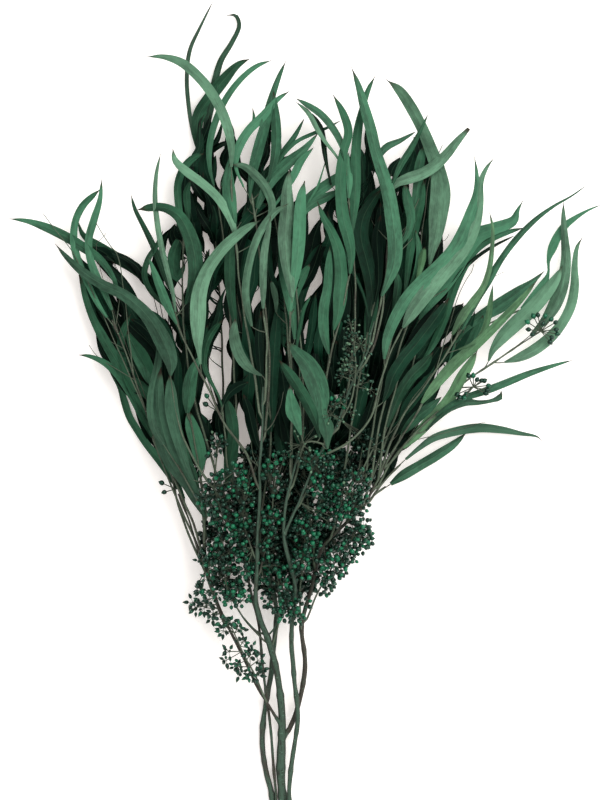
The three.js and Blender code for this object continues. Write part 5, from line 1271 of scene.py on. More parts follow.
def grow_own_leaves(growth, twig, spray, settings, dice):
    """The leaves of a spray's upper and lower rows. Returns where the upper ones leave the twig."""
    upper, lower = spray["leaves"], spray.get("lower", [])
    tones = spray["tones"].split()
    joints = []
    for i, leaf in enumerate(upper):
        share = share_nearest(twig, leaf[-3:-1])
        back = PETIOLE_LENGTH / (JOINT_SPACING * (len(twig) - 1))
        joints.append(max(share - back, 0.02))
        level = spray["level"] + SPRAY_LIFT + 0.25 * (i % 3 - 1)
        base_height = place_along(twig, share)[2] + BLADE_LIFT
        reach = spray.get("reach", SETTLE_LENGTH)
        joint = place_along(twig, joints[-1])
        grow_leaf(growth, leaf, level, joint, base_height, tones[i], settings, dice, reach)
    for (level, *leaf), tone in zip(lower, tones[len(upper):]):
        leaf = tapered(leaf)
        joint = leaf_joint(twig, np.array(leaf[-3:-1]))
        height = level_height(*leaf[-3:-1], min(level, spray["level"]))
        grow_leaf(growth, leaf, level, joint, height, tone, settings, dice)
    return joints


def grow_hidden(growth, name, twig, settings, dice):
    """The low leaves that fill a spray out under the others, mostly in the nearly black tone that is
    painted shade.
    """
    for tone, level, leaf in LOW_LEAVES:
        base = np.array(leaf[-3:-1], float)
        if nearest_spray(base) == name:
            height = level_height(*base, level)
            joint = leaf_joint(twig, base)
            grow_leaf(growth, leaf, level, joint, height, tone, settings, dice)
    for rows in hidden_leaves()[name]:
        base = rows[-1, :2]
        joint = leaf_joint(twig, base)
        # painted shade: the hidden leaves are mostly nearly black, as they lie in the shade under the
        # others
        tone = dice.choice(("dark", "dark", "dark", "deep"))
        level = dice.uniform(0.7, 5.5)
        height = min(joint[2], level_height(*base, level))
        leaf = rows.ravel()
        reach, columns = HIDDEN_SETTLE, HIDDEN_COLUMNS
        grow_leaf(growth, leaf, level, joint, height, tone, settings, dice, reach, columns)


def grow_bare_twigs(growth, name, twig, dice):
    """Thin leafless twigs beside the leaves."""
    for thickness, level, line in BARE_TWIGS:
        flat = table(line, 2)
        if nearest_spray(flat[0]) != name:
            continue
        points = np.column_stack([flat, level_height(*flat.T, level)])
        joint = leaf_joint(twig, flat[0])
        fine = rounded(np.vstack([joint, points]), 3, 0.2, dice)
        radii = thickness / 2 * np.linspace(1, 0.55, len(fine))
        tube(growth, fine, radii, 7, TWIG, dice.uniform(0, GRAINS), dice.random())


def grow_spray(name, spray, settings, materials):
    """A twig with its petioles and leaves, and with umbels where it has them."""
    dice = random.Random(name)
    growth = Growth(materials)
    twig = twig_line(spray)
    line = rounded(twig, 3, 0.25, dice)
    radii = np.linspace(spray.get("thick", TWIG_RADIUS), TWIG_TIP_RADIUS, len(line))
    joints = grow_own_leaves(growth, twig, spray, settings.leaf, dice)
    at = np.linspace(0, 1, len(line))
    for joint in joints:
        radii = radii + 0.3 * np.exp(-(((at - joint) * len(line) / 1.3) ** 2))
    line, radii = np.vstack([stem_place(spray["from"]), line]), np.append(radii[0], radii)
    tube(growth, line, radii, 8, TWIG, dice.uniform(0, GRAINS), dice.random())
    grow_hidden(growth, name, twig, settings.leaf, dice)
    grow_bare_twigs(growth, name, twig, dice)
    grow_heads(growth, twig, spray, settings.seeds, dice)
    growth.finish(name.replace("leaves_", "spray_"), name)


# Seeds
class Heads:
    """How the capsules of a kind of umbel look."""

    def __init__(self, look, shade=1.0, stalks=1.0, beak=1.0, size=1.0, fewer=0, plain=False):
        self.look, self.shade, self.stalks, self.beak = look, shade, stalks, beak
        self.size, self.fewer, self.plain = size, fewer, plain


ROUND_HEADS = Heads(CAPSULE)
# Painted shade: the low umbels' capsules are kept darker, as they lie in the shade under the others.
LOW_HEADS = Heads(CAPSULE, shade=0.35, size=1.35, plain=True)
HEADS = {
    "beaked": Heads(CAPSULE, shade=0.8, stalks=0.7, beak=1.5, size=0.85, fewer=2),
    "pale": Heads(PALE_CAPSULE, stalks=1.1, size=0.62, fewer=1, plain=True),
}
BUD_PROFILE = (  # share of the length from the stalk to the beak, and share of the half width
    (0, 0.24), (0.12, 0.72), (0.32, 0.98), (0.5, 1), (0.58, 0.93), (0.72, 0.76), (0.84, 0.42), (1, 0.03),
)
PLAIN_PROFILE = (0, 0.3), (0.2, 0.9), (0.48, 1), (0.72, 0.65), (1, 0.05)
BUD_SIDES = 7
UMBEL_SPREAD = 1.75  # how far the stalks of an umbel lean out from its middle, in radians
RAYS_SPREAD = 1.5  # how far the rays of an open umbel do


def bud_template(settings, plain=False, beak=1.0):
    """A seed capsule along +Z from its stalk: points, faces and shares of its length."""
    profile, sides = (PLAIN_PROFILE, 5) if plain else (BUD_PROFILE, BUD_SIDES)
    angles = np.linspace(0, 2 * math.pi, sides, endpoint=False)
    rings = []
    for share, width in profile:
        radius = width * settings.bud_width / MM / 2
        length = share + max(share - 0.47, 0) * (beak - 1) * 1.5
        height = np.full(sides, length * settings.bud_length / MM)
        rings.append(np.column_stack([np.cos(angles) * radius, np.sin(angles) * radius, height]))
    shares = np.repeat([share for share, _ in profile], sides)
    return np.vstack(rings), ring_faces(len(profile), sides), shares


def turned_to(direction):
    """Rows that turn +Z to a direction."""
    side, up = across_of(direction)
    return np.array([side, up, direction])


def umbel_directions(outward, count, spread, dice):
    """Directions of the stalks of an umbel around the way that it faces."""
    axes = turned_to(outward)
    turn = dice.uniform(0, TURN)
    directions = []
    for k in range(count):
        away = spread * math.sqrt((k + 0.4) / count) * dice.uniform(0.85, 1.15)
        angle = turn + k * 2.4 + dice.uniform(-0.3, 0.3)
        local = (math.sin(away) * math.cos(angle), math.sin(away) * math.sin(angle), math.cos(away))
        directions.append(unit(np.array(local) @ axes))
    return directions


def grow_bud(growth, template, tip, direction, size, look, tone, seed):
    """One capsule at the end of its stalk."""
    bud, faces, shares = template
    places = bud * size @ turned_to(direction) + tip
    grain = np.column_stack([bud[:, 0], bud[:, 2], np.full(len(bud), seed)])
    growth.add(places, faces, look, grain, np.column_stack([shares, shares, np.full(len(bud), tone)]))


def grow_umbel(growth, hub, outward, settings, dice, count, kind):
    """Short stalks from one point, each with a pointed capsule."""
    template = bud_template(settings, kind.plain, kind.beak)
    for direction in umbel_directions(outward, count, UMBEL_SPREAD, dice):
        length = settings.umbel_radius / MM * kind.stalks * dice.uniform(0.5, 1)
        tip = hub + direction * length
        sag = np.array((0, 0, -0.08 * length))
        tone, seed = dice.random(), dice.uniform(0, GRAINS)
        tube(growth, [hub, tip + sag], PEDICEL_RADIUS, 3, TWIG, seed, tone)
        way, size = unit(tip - hub - sag), kind.size * dice.uniform(0.78, 1.12)
        grow_bud(growth, template, tip, way, size, kind.look, tone * kind.shade, seed)


def ray_root(stalk, hub, back, least=0):
    """Where on its stalk the ray to an umbel starts, which is a little before the nearest place."""
    return place_along(stalk, max(share_nearest(stalk, hub) - back, least))


def grow_ray(growth, root, end, lift, radius, seed, tone, steps=4, sides=5):
    """A thin stalk between two places. Returns its middle, which is lifted a little."""
    middle = (root + end) / 2 + (0, 0, lift)
    tube(growth, smooth_line([root, middle, end], steps), radius, sides, TWIG, seed, tone)
    return middle


def grow_umbels(growth, stalk, heads, settings, dice, kind):
    """Umbels on rays from a stalk, each with a smaller one beside it."""
    for x, y, level in table(heads, 3):
        head = np.array((x, y, level_height(x, y, level)))
        root = ray_root(stalk, head, 0.05, 0.06)
        outward = unit(head - root)
        hub = head - outward * 2.5
        grow_ray(growth, root, hub, 0.8, RAY_RADIUS, x, dice.random(), steps=5)
        grow_umbel(growth, hub, outward, settings, dice, settings.buds - kind.fewer, kind)
        aside = unit(np.array((dice.uniform(-1, 1), dice.uniform(-1, 1), dice.uniform(-0.9, 0.1))))
        low = hub + aside * dice.uniform(6, 10) - outward * 1.5
        low[2] = max(low[2], LOWEST_UMBEL)
        grow_ray(growth, root, low, 0, RAY_RADIUS * 0.8, y, 0.3)
        grow_umbel(growth, low, unit(low - root), settings, dice, settings.buds - 2 - kind.fewer, kind)


def grow_low_umbels(growth, name, stalk, settings, dice):
    """The umbels under the others that fill the seed heads out, their capsules painted darker for the shade
    there.
    """
    for x, y, level in hidden_umbels()[name]:
        hub = np.array((x, y, max(level_height(x, y, level), LOWEST_UMBEL)))
        root = ray_root(stalk, hub[:2], 0.1)
        grow_ray(growth, root, hub, -1.5, RAY_RADIUS * 0.8, x, dice.random(), sides=4)
        outward = unit(hub - root + (0, 0, 4))
        grow_umbel(growth, hub, outward, settings, dice, LOW_UMBEL_BUDS, LOW_HEADS)


def grow_rays(growth, stalk, hub, reach, count, settings, dice):
    """An open umbel of long bare rays, each with a small pale capsule."""
    hub = np.array(hub)
    root = ray_root(stalk, hub, 0.06)
    grow_ray(growth, root, hub, 0, RAY_RADIUS * 1.3, 1, 0.9)
    template = bud_template(settings, True)
    for direction in umbel_directions(np.array((0, 0, 1.0)), count, RAYS_SPREAD, dice):
        tip = hub + direction * reach * dice.uniform(0.7, 1.1)
        seed = dice.uniform(0, GRAINS)
        middle = grow_ray(growth, hub, tip, 0.7, np.linspace(0.36, 0.24, 5), seed, 0.9, sides=4)
        size = dice.uniform(0.45, 0.7)
        grow_bud(growth, template, tip, unit(tip - middle), size, PALE_CAPSULE, dice.random(), seed)


def grow_ring(growth, stalk, level, hub, ends, settings, dice):
    """An open umbel whose capsules stand in a ring around its middle."""
    hub = np.array([*hub, level_height(*hub, level)])
    root = ray_root(stalk, hub, 0.05)
    line = rounded(np.array([root, (root + hub) / 2 + (0, 0, 0.6), hub]), 2, 0.2, dice)
    tube(growth, line, RAY_RADIUS * 1.2, 6, TWIG, 3, 0.6)
    template = bud_template(settings)
    for x, y in table(ends, 2):
        tip = np.array((x, y, hub[2] + dice.uniform(-1.5, 2.5)))
        seed = dice.uniform(0, GRAINS)
        middle = grow_ray(growth, hub, tip, 0.8, PEDICEL_RADIUS * 1.9, seed, 0.5, sides=4)
        way = unit(tip - middle + (0, 0, 0.5))
        grow_bud(growth, template, tip, way, dice.uniform(1, 1.25), CAPSULE, dice.random(), seed)


def grow_heads(growth, stalk, rows, settings, dice, kind=ROUND_HEADS):
    """Every umbel of a stalk or twig: round ones, open ones with bare rays and rings."""
    grow_umbels(growth, stalk, rows.get("heads", []), settings, dice, kind)
    for x, y, level, reach, count in rows.get("rays", []):
        grow_rays(growth, stalk, (x, y, level_height(x, y, level)), reach, count, settings, dice)
    for level, x, y, *ends in rows.get("rings", []):
        grow_ring(growth, stalk, level, (x, y), ends, settings, dice)


def grow_seeds(name, seeds, settings, materials):
    """A stalk with its umbels of capsules."""
    dice = random.Random(name)
    growth = Growth(materials)
    start = leave_stem(seeds["from"], STALK_RADIUS)
    rows = table(seeds["stalk"], 3)
    stalk = jointed(start, rows[:, :2], level_height(*rows.T))
    fine = np.vstack([stem_place(seeds["from"]), rounded(stalk, 3, 0.2, dice)])
    radii = np.linspace(STALK_RADIUS, STALK_RADIUS * 0.6, len(fine))
    tube(growth, fine, radii, 7, TWIG, dice.uniform(0, GRAINS), dice.random())
    kind = HEADS.get(seeds.get("capsule"), ROUND_HEADS)
    grow_heads(growth, stalk, seeds, settings.seeds, dice, kind)
    grow_low_umbels(growth, name, stalk, settings.seeds, dice)
    growth.finish(name.replace("seeds_", "umbels_"), name)


# Stems
BARK, CUT_WOOD = 0, 1  # places in a stem's list of materials


def stem_line(stem, knots, dice):
    """Points and radii of a stem, which swells at its knots and bends a little."""
    rows = table(stem["line"], 4)
    line = smooth_line(rows, int(run_along(rows)[-1] / 2))
    at = run_along(line[:, :3])
    radii = line[:, 3].copy()
    places = np.cumsum([dice.uniform(16, 34) for _ in range(24)])
    for place in places[places < at[-1] - 6]:
        radii += knots * line[:, 3] * np.exp(-(((at - place) / dice.uniform(2.4, 4.5)) ** 2))
    radii *= 0.93 + 0.05 * np.sin(at / 7 + dice.uniform(0, 6)) + 0.03 * np.sin(at / 3.4)
    line[:, 0] += 0.35 * np.sin(at / 11 + dice.uniform(0, 6)) * ease(at / 20)
    return line[:, :3], radii


def grow_forks(growth, stem, dice):
    """The side forks of a stem, and the stubs that its branches grow from."""
    for radius, *points in stem.get("forks", []):
        fork = rounded(table(points, 3), 2.5, 0.15, dice)
        radii = np.linspace(radius, radius * 0.5, len(fork))
        tube(growth, fork, radii, 8, BARK, dice.uniform(0, GRAINS), 0.5)
    shares = np.linspace(0, 1, 8)
    for *ends, radius in stem.get("stubs", []):
        start, end = table(ends, 3)
        path = start + (end - start) * shares[:, None]
        swell = radius * (1 + 0.55 * np.exp(-((shares / 0.3) ** 2)))
        tube(growth, path, swell, 12, BARK, dice.uniform(0, GRAINS), dice.random())


def grow_stem(name, stem, settings, materials):
    """A woody stem with its knots, its forks and a cut end."""
    dice = random.Random(name)
    growth = Growth({"bark": materials[stem["tone"]], "cut_wood": materials["cut_wood"]})
    line, radii = stem_line(stem, settings.stems.knots, dice)
    middle, is_cut = line, stem["line"][1] < CUT_BELOW
    if not is_cut:
        middle = np.vstack([line[0] - unit(line[2] - line[0]) * JOIN_DEPTH, line])
        radii = np.append(radii[0] * 0.9, radii)
    tube(growth, middle, radii, STEM_SIDES, BARK, dice.uniform(0, GRAINS), dice.random())
    grow_forks(growth, stem, dice)
    if is_cut:
        grow_cut(growth, line[0], line[1], radii[0])
    growth.finish(name + "_bark", name)


def grow_cut(growth, end, inside, radius):
    """The pale cut face of a stem."""
    out = unit(end - inside)
    line = [end - out * 0.2, end + out * 0.12, end + out * 0.16]
    tube(growth, line, [radius * 0.9, radius * 0.86, radius * 0.8], STEM_SIDES, CUT_WOOD, 1, 0.5)


# Materials
class Looks:
    """A material's node tree while it is put together."""

    def __init__(self, name):
        self.material = bpy.data.materials.new(name)
        self.material.use_nodes = True
        self.tree = self.material.node_tree
        self.shader = self.tree.nodes["Principled BSDF"]

    def node(self, kind, inputs=(), **settings):
        """Adds a node. An input is a value, or another node's output to link."""
        made = self.tree.nodes.new(kind)
        for key, value in settings.items():
            setattr(made, key, value)
        for key, value in dict(inputs).items():
            self.put(made.inputs[key], value)
        return made

    def put(self, socket, value):
        """Sets or links one input."""
        if isinstance(value, bpy.types.NodeSocket):
            self.tree.links.new(value, socket)
        else:
            socket.default_value = value

    def surface(self, colour, roughness, specular):
        """Sets the shader's main values."""
        titles = "Base Color", "Roughness", "Specular IOR Level"
        for title, value in zip(titles, (colour, roughness, specular)):
            self.put(self.shader.inputs[title], value)

    def math(self, operation, a, b=0.0, c=0.0):
        """The result of a math node."""
        made = self.node("ShaderNodeMath", {0: a, 1: b, 2: c}, operation=operation)
        return made.outputs[0]

    def times(self, a, b):
        """A product."""
        return self.math("MULTIPLY", a, b)

    def plus(self, *values):
        """A sum."""
        return functools.reduce(lambda a, b: self.math("ADD", a, b), values)

    def ramp(self, value, low, high, to_low=0.0, to_high=1.0):
        """A value mapped smoothly from one range to another."""
        inputs = {0: value, 1: low, 2: high, 3: to_low, 4: to_high}
        return self.node("ShaderNodeMapRange", inputs, interpolation_type="SMOOTHSTEP").outputs[0]

    def mix(self, share, a, b):
        """Two colours mixed by a share."""
        made = self.node("ShaderNodeMix", {0: share, 6: a, 7: b}, data_type="RGBA")
        return made.outputs[2]

    def values(self, title):
        """The three numbers of a surface value."""
        vector = self.node("ShaderNodeAttribute", attribute_name=title).outputs["Vector"]
        return self.node("ShaderNodeSeparateXYZ", {0: vector}).outputs

    @functools.cached_property
    def grain(self):
        """Where a point of the surface is: across it and along it, and its seed."""
        return self.values("grain")

    def noise(self, per_across, per_along, detail=3.0, roughness=0.55):
        """Noise over the grain, with how fast it changes across and along."""
        across, along, seed = self.grain
        place = {0: self.times(across, per_across), 1: self.times(along, per_along), 2: seed}
        vector = self.node("ShaderNodeCombineXYZ", place).outputs[0]
        inputs = {"Vector": vector, "Scale": 1.0, "Detail": detail, "Roughness": roughness}
        return self.node("ShaderNodeTexNoise", inputs).outputs[0]

    def fleck(self, scale, detail):
        """Noise through the whole object."""
        place = self.node("ShaderNodeTexCoord").outputs["Object"]
        inputs = {"Vector": place, "Scale": scale, "Detail": detail}
        return self.node("ShaderNodeTexNoise", inputs).outputs[0]

    def bump(self, height, strength, distance):
        """Gives the surface relief."""
        inputs = {"Height": height, "Strength": strength, "Distance": distance}
        self.put(self.shader.inputs["Normal"], self.node("ShaderNodeBump", inputs).outputs[0])


def opaque(colour):
    """A colour with full alpha."""
    return (*colour, 1.0)


def leaf_look(name, colour, settings):
    """A dried leaf: streaks, side veins, a pale midrib and rim, a dark tip and a few specks, with one half
    of the blade painted lighter than the other, as its fold turns it to the light.
    """
    looks = Looks(name)
    across, along, _ = looks.grain
    edge, run, tone = looks.values("share")
    patches = looks.noise(0.09, 0.035, 2)
    streaks = looks.noise(1.3, 0.05, 5, 0.65)
    fine = looks.noise(4.5, 0.11, 3, 0.6)
    blotches = looks.noise(0.4, 0.22)
    slant = looks.plus(looks.times(along, 2.1), looks.times(looks.math("ABSOLUTE", across), -3.2))
    waves = looks.math("SINE", looks.plus(slant, looks.times(streaks, 3.0)))
    veins = looks.math("POWER", looks.math("ABSOLUTE", waves), 6.0)
    body = looks.plus(
        looks.times(patches, 0.75),
        looks.times(streaks, 0.6),
        looks.times(tone, 0.6),
        looks.math("MULTIPLY_ADD", fine, 0.7, -0.33),
        # painted light and shade: one half of the blade lighter and the other darker, as a folded leaf
        # turns its halves to and from the light
        looks.ramp(across, -0.35, 0.35, -0.07, 0.07),
        looks.math("MULTIPLY_ADD", blotches, 0.45, -0.225),
        looks.ramp(run, 0, 0.35, -0.18, 0),
    )
    deep, light = (opaque(value * factor for value in colour) for factor in (0.34, 1.6))
    rib, tip = opaque(settings.rib_colour), opaque(settings.tip_colour)
    shade = looks.mix(looks.ramp(body, 0.5, 1.5), deep, light)
    shade = looks.mix(looks.times(veins, 0.1), shade, light)
    midrib = looks.ramp(looks.math("ABSOLUTE", across), 0.08, 0.32, 1, 0)
    shade = looks.mix(looks.times(midrib, 0.08), shade, rib)
    shade = looks.mix(looks.times(looks.ramp(edge, 0.95, 1), 0.1), shade, rib)
    specks = looks.ramp(looks.noise(1.1, 1, 1), 0.73, 0.8)
    shade = looks.mix(looks.times(specks, 0.7), shade, tip)
    burnt = looks.plus(run, looks.times(patches, 0.1))
    shade = looks.mix(looks.ramp(burnt, 0.965, 1.05), shade, tip)
    looks.surface(shade, looks.ramp(streaks, 0.3, 0.75, 0.42, 0.62), 0.05 + 0.7 * colour[1])
    relief = looks.plus(looks.times(veins, 0.3), looks.times(streaks, 0.8), looks.times(fine, 0.7))
    looks.bump(relief, 0.55, 0.0004)
    return looks.material


def bark_look(name, green, brown, share):
    """Smooth bark: green to brown patches, long streaks, small pale pores, and painted shade that darkens
    its two flanks.
    """
    looks = Looks(name)
    tone = looks.values("share")[2]
    patches = looks.noise(0.4, 0.05)
    streaks = looks.noise(2.4, 0.16, 5, 0.7)
    pores = looks.ramp(looks.noise(1.3, 0.7, 2), 0.6, 0.7)
    # dark brown for the streaks, and for the painted shade on the flanks
    dark = opaque(value * 0.35 for value in brown)
    pale = opaque(min(value * 2.2, 1) for value in green)
    turn = looks.plus(patches, looks.times(tone, 0.25))
    shade = looks.mix(looks.ramp(turn, share - 0.15, share + 0.15), opaque(brown), opaque(green))
    shade = looks.mix(looks.ramp(streaks, 0.5, 0.33), shade, dark)
    shade = looks.mix(looks.times(pores, 0.9), shade, pale)
    # Painted shade: the flanks of the tube, its edges as seen from above, are darkened as if light fell
    # only on its top.
    sides = looks.math("ABSOLUTE", looks.math("COSINE", looks.times(looks.grain[0], math.pi / 3)))
    shade = looks.mix(looks.ramp(sides, 0.45, 1, 0, 0.75), shade, dark)
    looks.surface(shade, looks.ramp(streaks, 0.3, 0.7, 0.5, 0.75), 0.2)
    looks.bump(looks.plus(streaks, looks.times(pores, 0.5)), 0.8, 0.0008)
    return looks.material


def bud_look(name, dark, bright):
    """Glossy capsules, from bright to nearly black green, with a darker beak."""
    looks = Looks(name)
    share, _, tone = looks.values("share")
    mottle = looks.noise(1, 1)
    # the share towards bright: a capsule's own tone, which is scaled down as painted shade for the low
    # umbels
    lit = looks.ramp(looks.plus(tone, looks.times(mottle, 0.5)), 0.7, 1.25)
    shade = looks.mix(lit, opaque(dark), opaque(bright))
    shade = looks.mix(looks.times(looks.ramp(share, 0.72, 0.95), 0.6), shade, opaque(dark))
    looks.surface(shade, looks.ramp(mottle, 0.3, 0.7, 0.12, 0.3), 0.5)
    looks.put(looks.shader.inputs["Specular Tint"], (0.52, 1, 0.77, 1))
    looks.bump(mottle, 0.25, 0.0003)
    return looks.material


def cut_look(name):
    """Pale end grain."""
    looks = Looks(name)
    grain = looks.fleck(900.0, 3.0)
    shade = looks.mix(looks.ramp(grain, 0.35, 0.65), (0.3, 0.22, 0.12, 1), (0.5, 0.42, 0.28, 1))
    looks.surface(shade, 0.8, 0.5)
    looks.bump(grain, 0.5, 0.0003)
    return looks.material


def all_looks(settings):
    """Every material of the bunch, each made once."""
    leaf, seeds, stems = settings.leaf, settings.seeds, settings.stems
    makers = {
        "twig_bark": (bark_look, stems.twig, stems.brown, 0.5),
        "seed_capsule": (bud_look, seeds.dark_colour, seeds.bright_colour),
        "pale_capsule": (bud_look, seeds.dull_colour, seeds.pale_colour),
        **{"dried_leaf_" + tone: (leaf_look, getattr(leaf, tone), leaf) for tone in LEAF_TONES},
        "green_bark": (bark_look, stems.green, stems.brown, 0.5),
        "bark": (bark_look, stems.green, stems.brown, 0.72),
        "cut_wood": (cut_look,),
    }
    made = bpy.data.materials
    return {name: made.get(name) or make(name, *values) for name, (make, *values) in makers.items()}


# Settings
def srgb(red, green, blue):
    """Linear colour from the numbers 0 to 255 that a screen shows."""
    shares = (value / 255 for value in (red, green, blue))
    return tuple(s / 12.92 if s <= 0.04045 else ((s + 0.055) / 1.055) ** 2.4 for s in shares)


def colour_setting(name, description, default):
    """A colour that a user may change."""
    return bpy.props.FloatVectorProperty(
        name=name, description=description, default=default, size=3, min=0, max=1, subtype="COLOR"
    )


def length_setting(name, description, default, high=0.1):
    """A length that a user may change, in metres."""
    return bpy.props.FloatProperty(
        name=name, description=description, default=default, min=0, max=high, precision=5,
        subtype="DISTANCE", unit="LENGTH",
    )


def factor_setting(name, description, default, high=1.0):
    """A share that a user may change."""
    return bpy.props.FloatProperty(
        name=name, description=description, default=default, min=0, max=high, subtype="FACTOR"
    )


class LeafSettings(bpy.types.PropertyGroup):
    """Shape and colours of the leaves."""

    thickness: length_setting("Thickness", "How thick a blade is at its middle", 0.00034, 0.002)
    ripple: length_setting("Ripple", "How far the edges of a blade wave up and down", 0.0006, 0.005)
    fold: factor_setting("Fold", "How far a blade folds along its midrib", 0.24)
    bank: bpy.props.FloatProperty(
        name="Bank", description="How far a blade leans to one side", default=math.radians(24),
        min=0, max=math.radians(60), subtype="ANGLE", unit="ROTATION",
    )
    pale: colour_setting("Pale", "Colour of the palest leaves", srgb(75, 110, 87))
    light: colour_setting("Light", "Colour of the long yellowish leaves", srgb(72, 109, 76))
    fresh: colour_setting("Fresh", "Colour of the bright green leaves", srgb(50, 93, 69))
    mid: colour_setting("Middle", "Colour of the middle green leaves", srgb(36, 74, 53))
    olive: colour_setting("Olive", "Colour of the greyish leaves", srgb(46, 75, 58))
    deep: colour_setting("Deep", "Colour of the deep green leaves", srgb(15, 48, 33))
    # Painted shade: this nearly black tone stands for leaves that lie deep in the shade of the pile.
    dark: colour_setting("Dark", "Colour of the nearly black leaves", srgb(3, 22, 14))
    rib_colour: colour_setting("Midrib", "Colour of the midrib and the rim", srgb(120, 160, 125))
    tip_colour: colour_setting("Tip", "Colour of burnt tips and specks", srgb(40, 30, 22))


class SeedSettings(bpy.types.PropertyGroup):
    """Size and colours of the seed capsules."""

    bud_width: length_setting("Capsule width", "How wide a capsule is", 0.0036, 0.01)
    bud_length: length_setting("Capsule length", "How long a capsule is with its beak", 0.0044, 0.01)
    umbel_radius: length_setting("Stalk length", "How long the stalks of an umbel are", 0.0058, 0.02)
    buds: bpy.props.IntProperty(
        name="Capsules", description="Capsules in an umbel", default=9, min=3, max=14
    )
    dark_colour: colour_setting("Dark", "Colour of the darkest capsules", srgb(6, 26, 18))
    bright_colour: colour_setting("Bright", "Colour of the brightest capsules", srgb(18, 98, 66))
    dull_colour: colour_setting("Dull", "Colour of the darkest young capsules", srgb(26, 50, 38))
    pale_colour: colour_setting("Pale", "Colour of the palest young capsules", srgb(88, 114, 90))


class StemSettings(bpy.types.PropertyGroup):
    """Knots and bark of the stems."""

    knots: factor_setting("Knots", "How much a stem swells at its knots", 0.2)
    green: colour_setting("Green bark", "Colour of the greener bark", srgb(58, 80, 66))
    brown: colour_setting("Brown bark", "Colour of the browner bark", srgb(60, 57, 50))
    twig: colour_setting("Twigs", "Colour of the twigs and leaf stalks", srgb(84, 98, 80))


class StageSettings(bpy.types.PropertyGroup):
    """Floor, lights and camera."""

    floor: colour_setting("Floor", "Colour of the floor", (0.93, 0.915, 0.905))
    key: bpy.props.FloatProperty(
        name="Main light", description="Strength of the main light", default=52, min=0, max=1000,
        unit="POWER",
    )
    sky: factor_setting("Sky", "Strength of the light from all around", 0.95, 4)
    # Painted light: the floor glows by itself though it is no lamp, which lifts the shade on it between the
    # leaves and lights them a little from below.
    shadow_lifting_glow: factor_setting("Glow", "How brightly the floor shines by itself, as a lit table does", 0.3, 4)
    camera_height: length_setting("Camera height", "How far the camera is above the floor", 3.0, 20)


class BunchSettings(bpy.types.PropertyGroup):
    """All settings of the bunch."""

    leaf: bpy.props.PointerProperty(type=LeafSettings, name="Leaves", description="Leaves")
    seeds: bpy.props.PointerProperty(type=SeedSettings, name="Seeds", description="Seed capsules")
    stems: bpy.props.PointerProperty(type=StemSettings, name="Stems", description="Stems")
    stage: bpy.props.PointerProperty(type=StageSettings, name="Stage", description="Floor and lights")


# Operators
def grow_each(context, grow, rows, starts=("",)):
    """Grows the pieces of a kind whose names start in one of a few ways."""
    settings = context.scene.bunch
    names = [name for name in rows if name.startswith(starts)]
    if not names:
        raise RuntimeError("nothing is named " + ", ".join(starts))
    materials = all_looks(settings)
    for name in names:
        grow(name, rows[name], settings, materials)


class BUNCH_OT_stems(bpy.types.Operator):
    """Grow the woody stems and branches"""

    bl_idname = "bunch.stems"
    bl_label = "Stems and branches"

    def execute(self, context):
        grow_each(context, grow_stem, STEMS)
        return {"FINISHED"}


class BUNCH_OT_left_sprays(bpy.types.Operator):
    """Grow the leafy sprays of the left side"""

    bl_idname = "bunch.left_sprays"
    bl_label = "Left sprays"

    def execute(self, context):
        grow_each(context, grow_spray, SPRAYS, ("leaves_left", "leaves_far_left"))
        return {"FINISHED"}


class BUNCH_OT_centre_sprays(bpy.types.Operator):
    """Grow the leafy sprays of the middle and the top"""

    bl_idname = "bunch.centre_sprays"
    bl_label = "Centre sprays"

    def execute(self, context):
        starts = "top", "centre", "front", "long", "mid", "cross"
        grow_each(context, grow_spray, SPRAYS, tuple("leaves_" + start for start in starts))
        return {"FINISHED"}


class BUNCH_OT_right_sprays(bpy.types.Operator):
    """Grow the leafy sprays of the right side"""

    bl_idname = "bunch.right_sprays"
    bl_label = "Right sprays"

    def execute(self, context):
        grow_each(context, grow_spray, SPRAYS, ("leaves_right", "leaves_upper_right"))
        return {"FINISHED"}


class BUNCH_OT_seeds(bpy.types.Operator):
    """Grow the seed stalks and their umbels"""

    bl_idname = "bunch.seeds"
    bl_label = "Seed umbels"

    def execute(self, context):
        grow_each(context, grow_seeds, SEEDS)
        return {"FINISHED"}


class BUNCH_OT_stage(bpy.types.Operator):
    """Lay the pale floor, light it and place the camera straight above"""

    bl_idname = "bunch.stage"
    bl_label = "Floor, lights and camera"

    def execute(self, context):
        settings = context.scene.bunch.stage
        lay_floor(settings)
        light_stage(context, settings)
        place_camera(context, settings)
        return {"FINISHED"}


# Stage
VIEW_MIDDLE = (-4.8, 13.6)  # where the camera looks
VIEW_LENGTH = 640  # how much of the bunch's length is in view
SENSOR = 36  # width of the camera's sensor
LOOK_HEIGHT = 40  # height of the leaves that the view is measured at
FLOOR_REACH = 6  # metres from the floor's middle to its sides
LIGHT_PLACE = (1.15, 0.75, 1.75)  # metres
LIGHT_SIZE = 2.2  # metres across


def lay_floor(settings):
    """A large pale floor, which glows a little by itself as painted light that lifts the shade on it."""
    looks = Looks("pale_floor")
    worn = opaque(value * 0.985 for value in settings.floor)
    looks.surface(looks.mix(looks.fleck(300.0, 2.0), opaque(settings.floor), worn), 0.95, 0.1)
    # painted light: the floor's own glow, which brightens its shaded places between the leaves
    looks.put(looks.shader.inputs["Emission Color"], (1, 0.92, 0.85, 1))
    looks.put(looks.shader.inputs["Emission Strength"], settings.shadow_lifting_glow)
    mesh = bpy.data.meshes.new("floor")
    signs = (-1, -1), (1, -1), (1, 1), (-1, 1)
    mesh.from_pydata([(x * FLOOR_REACH, y * FLOOR_REACH, 0) for x, y in signs], [], [(0, 1, 2, 3)])
    mesh.materials.append(looks.material)
    floor = placed("floor", mesh)


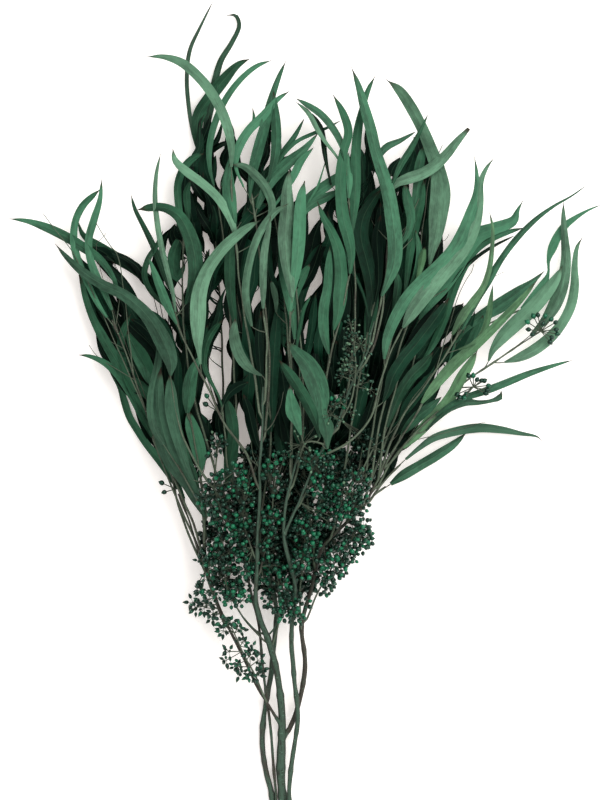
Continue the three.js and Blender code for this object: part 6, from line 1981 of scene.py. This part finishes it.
def light_stage(context, settings):
    """A soft sky and one large soft light from the upper right."""
    world = bpy.data.worlds.new("studio")
    world.use_nodes = True
    background = world.node_tree.nodes["Background"]
    background.inputs["Color"].default_value = (1, 0.99, 0.985, 1)
    background.inputs["Strength"].default_value = settings.sky
    context.scene.world = world
    light = bpy.data.lights.new("window_light", "AREA")
    light.shape = "DISK"
    light.size = LIGHT_SIZE
    light.energy = settings.key
    light.color = (1, 0.985, 0.96)
    lamp = placed("window_light", light)
    lamp.location = LIGHT_PLACE
    lamp.rotation_euler = (-lamp.location).to_track_quat("-Z", "Y").to_euler()
    context.scene.view_settings.view_transform = "Standard"


def place_camera(context, settings):
    """The camera straight above the bunch, with the stems running out of the view's lower edge."""
    camera = bpy.data.cameras.new("camera")
    camera.sensor_width = SENSOR
    camera.lens = SENSOR * (settings.camera_height / MM - LOOK_HEIGHT) / VIEW_LENGTH
    camera.clip_end = 50
    holder = placed("camera", camera)
    holder.location = (VIEW_MIDDLE[0] * MM, VIEW_MIDDLE[1] * MM, settings.camera_height)
    context.scene.camera = holder


class BUNCH_PT_panel(bpy.types.Panel):
    """Lists what the bunch is grown from"""

    bl_idname = "BUNCH_PT_panel"
    bl_label = "Dried Eucalyptus Bunch"
    bl_space_type = "VIEW_3D"
    bl_region_type = "UI"
    bl_category = "Eucalyptus"

    def draw(self, context):
        for operator in OPERATORS:
            self.layout.operator(operator.bl_idname)
        for group in ("leaf", "seeds", "stems", "stage"):
            settings = getattr(context.scene.bunch, group)
            box = self.layout.box()
            for title in settings.__annotations__:
                box.prop(settings, title)


OPERATORS = (
    BUNCH_OT_stems,
    BUNCH_OT_left_sprays,
    BUNCH_OT_centre_sprays,
    BUNCH_OT_right_sprays,
    BUNCH_OT_seeds,
    BUNCH_OT_stage,
)
GROUPS = LeafSettings, SeedSettings, StemSettings, StageSettings, BunchSettings
CLASSES = (*GROUPS, *OPERATORS, BUNCH_PT_panel)


def register():
    """Adds the settings, operators and panel."""
    for each in CLASSES:
        bpy.utils.register_class(each)
    bpy.types.Scene.bunch = bpy.props.PointerProperty(
        type=BunchSettings, name="Bunch", description="Bunch settings"
    )


def unregister():
    """Takes the settings, operators and panel away."""
    del bpy.types.Scene.bunch
    for each in reversed(CLASSES):
        bpy.utils.unregister_class(each)


def main():
    """Grows the bunch and sets the stage."""
    register()
    bpy.ops.bunch.stems()
    bpy.ops.bunch.left_sprays()
    bpy.ops.bunch.centre_sprays()
    bpy.ops.bunch.right_sprays()
    bpy.ops.bunch.seeds()
    bpy.ops.bunch.stage()


if __name__ == "__main__":
    main()
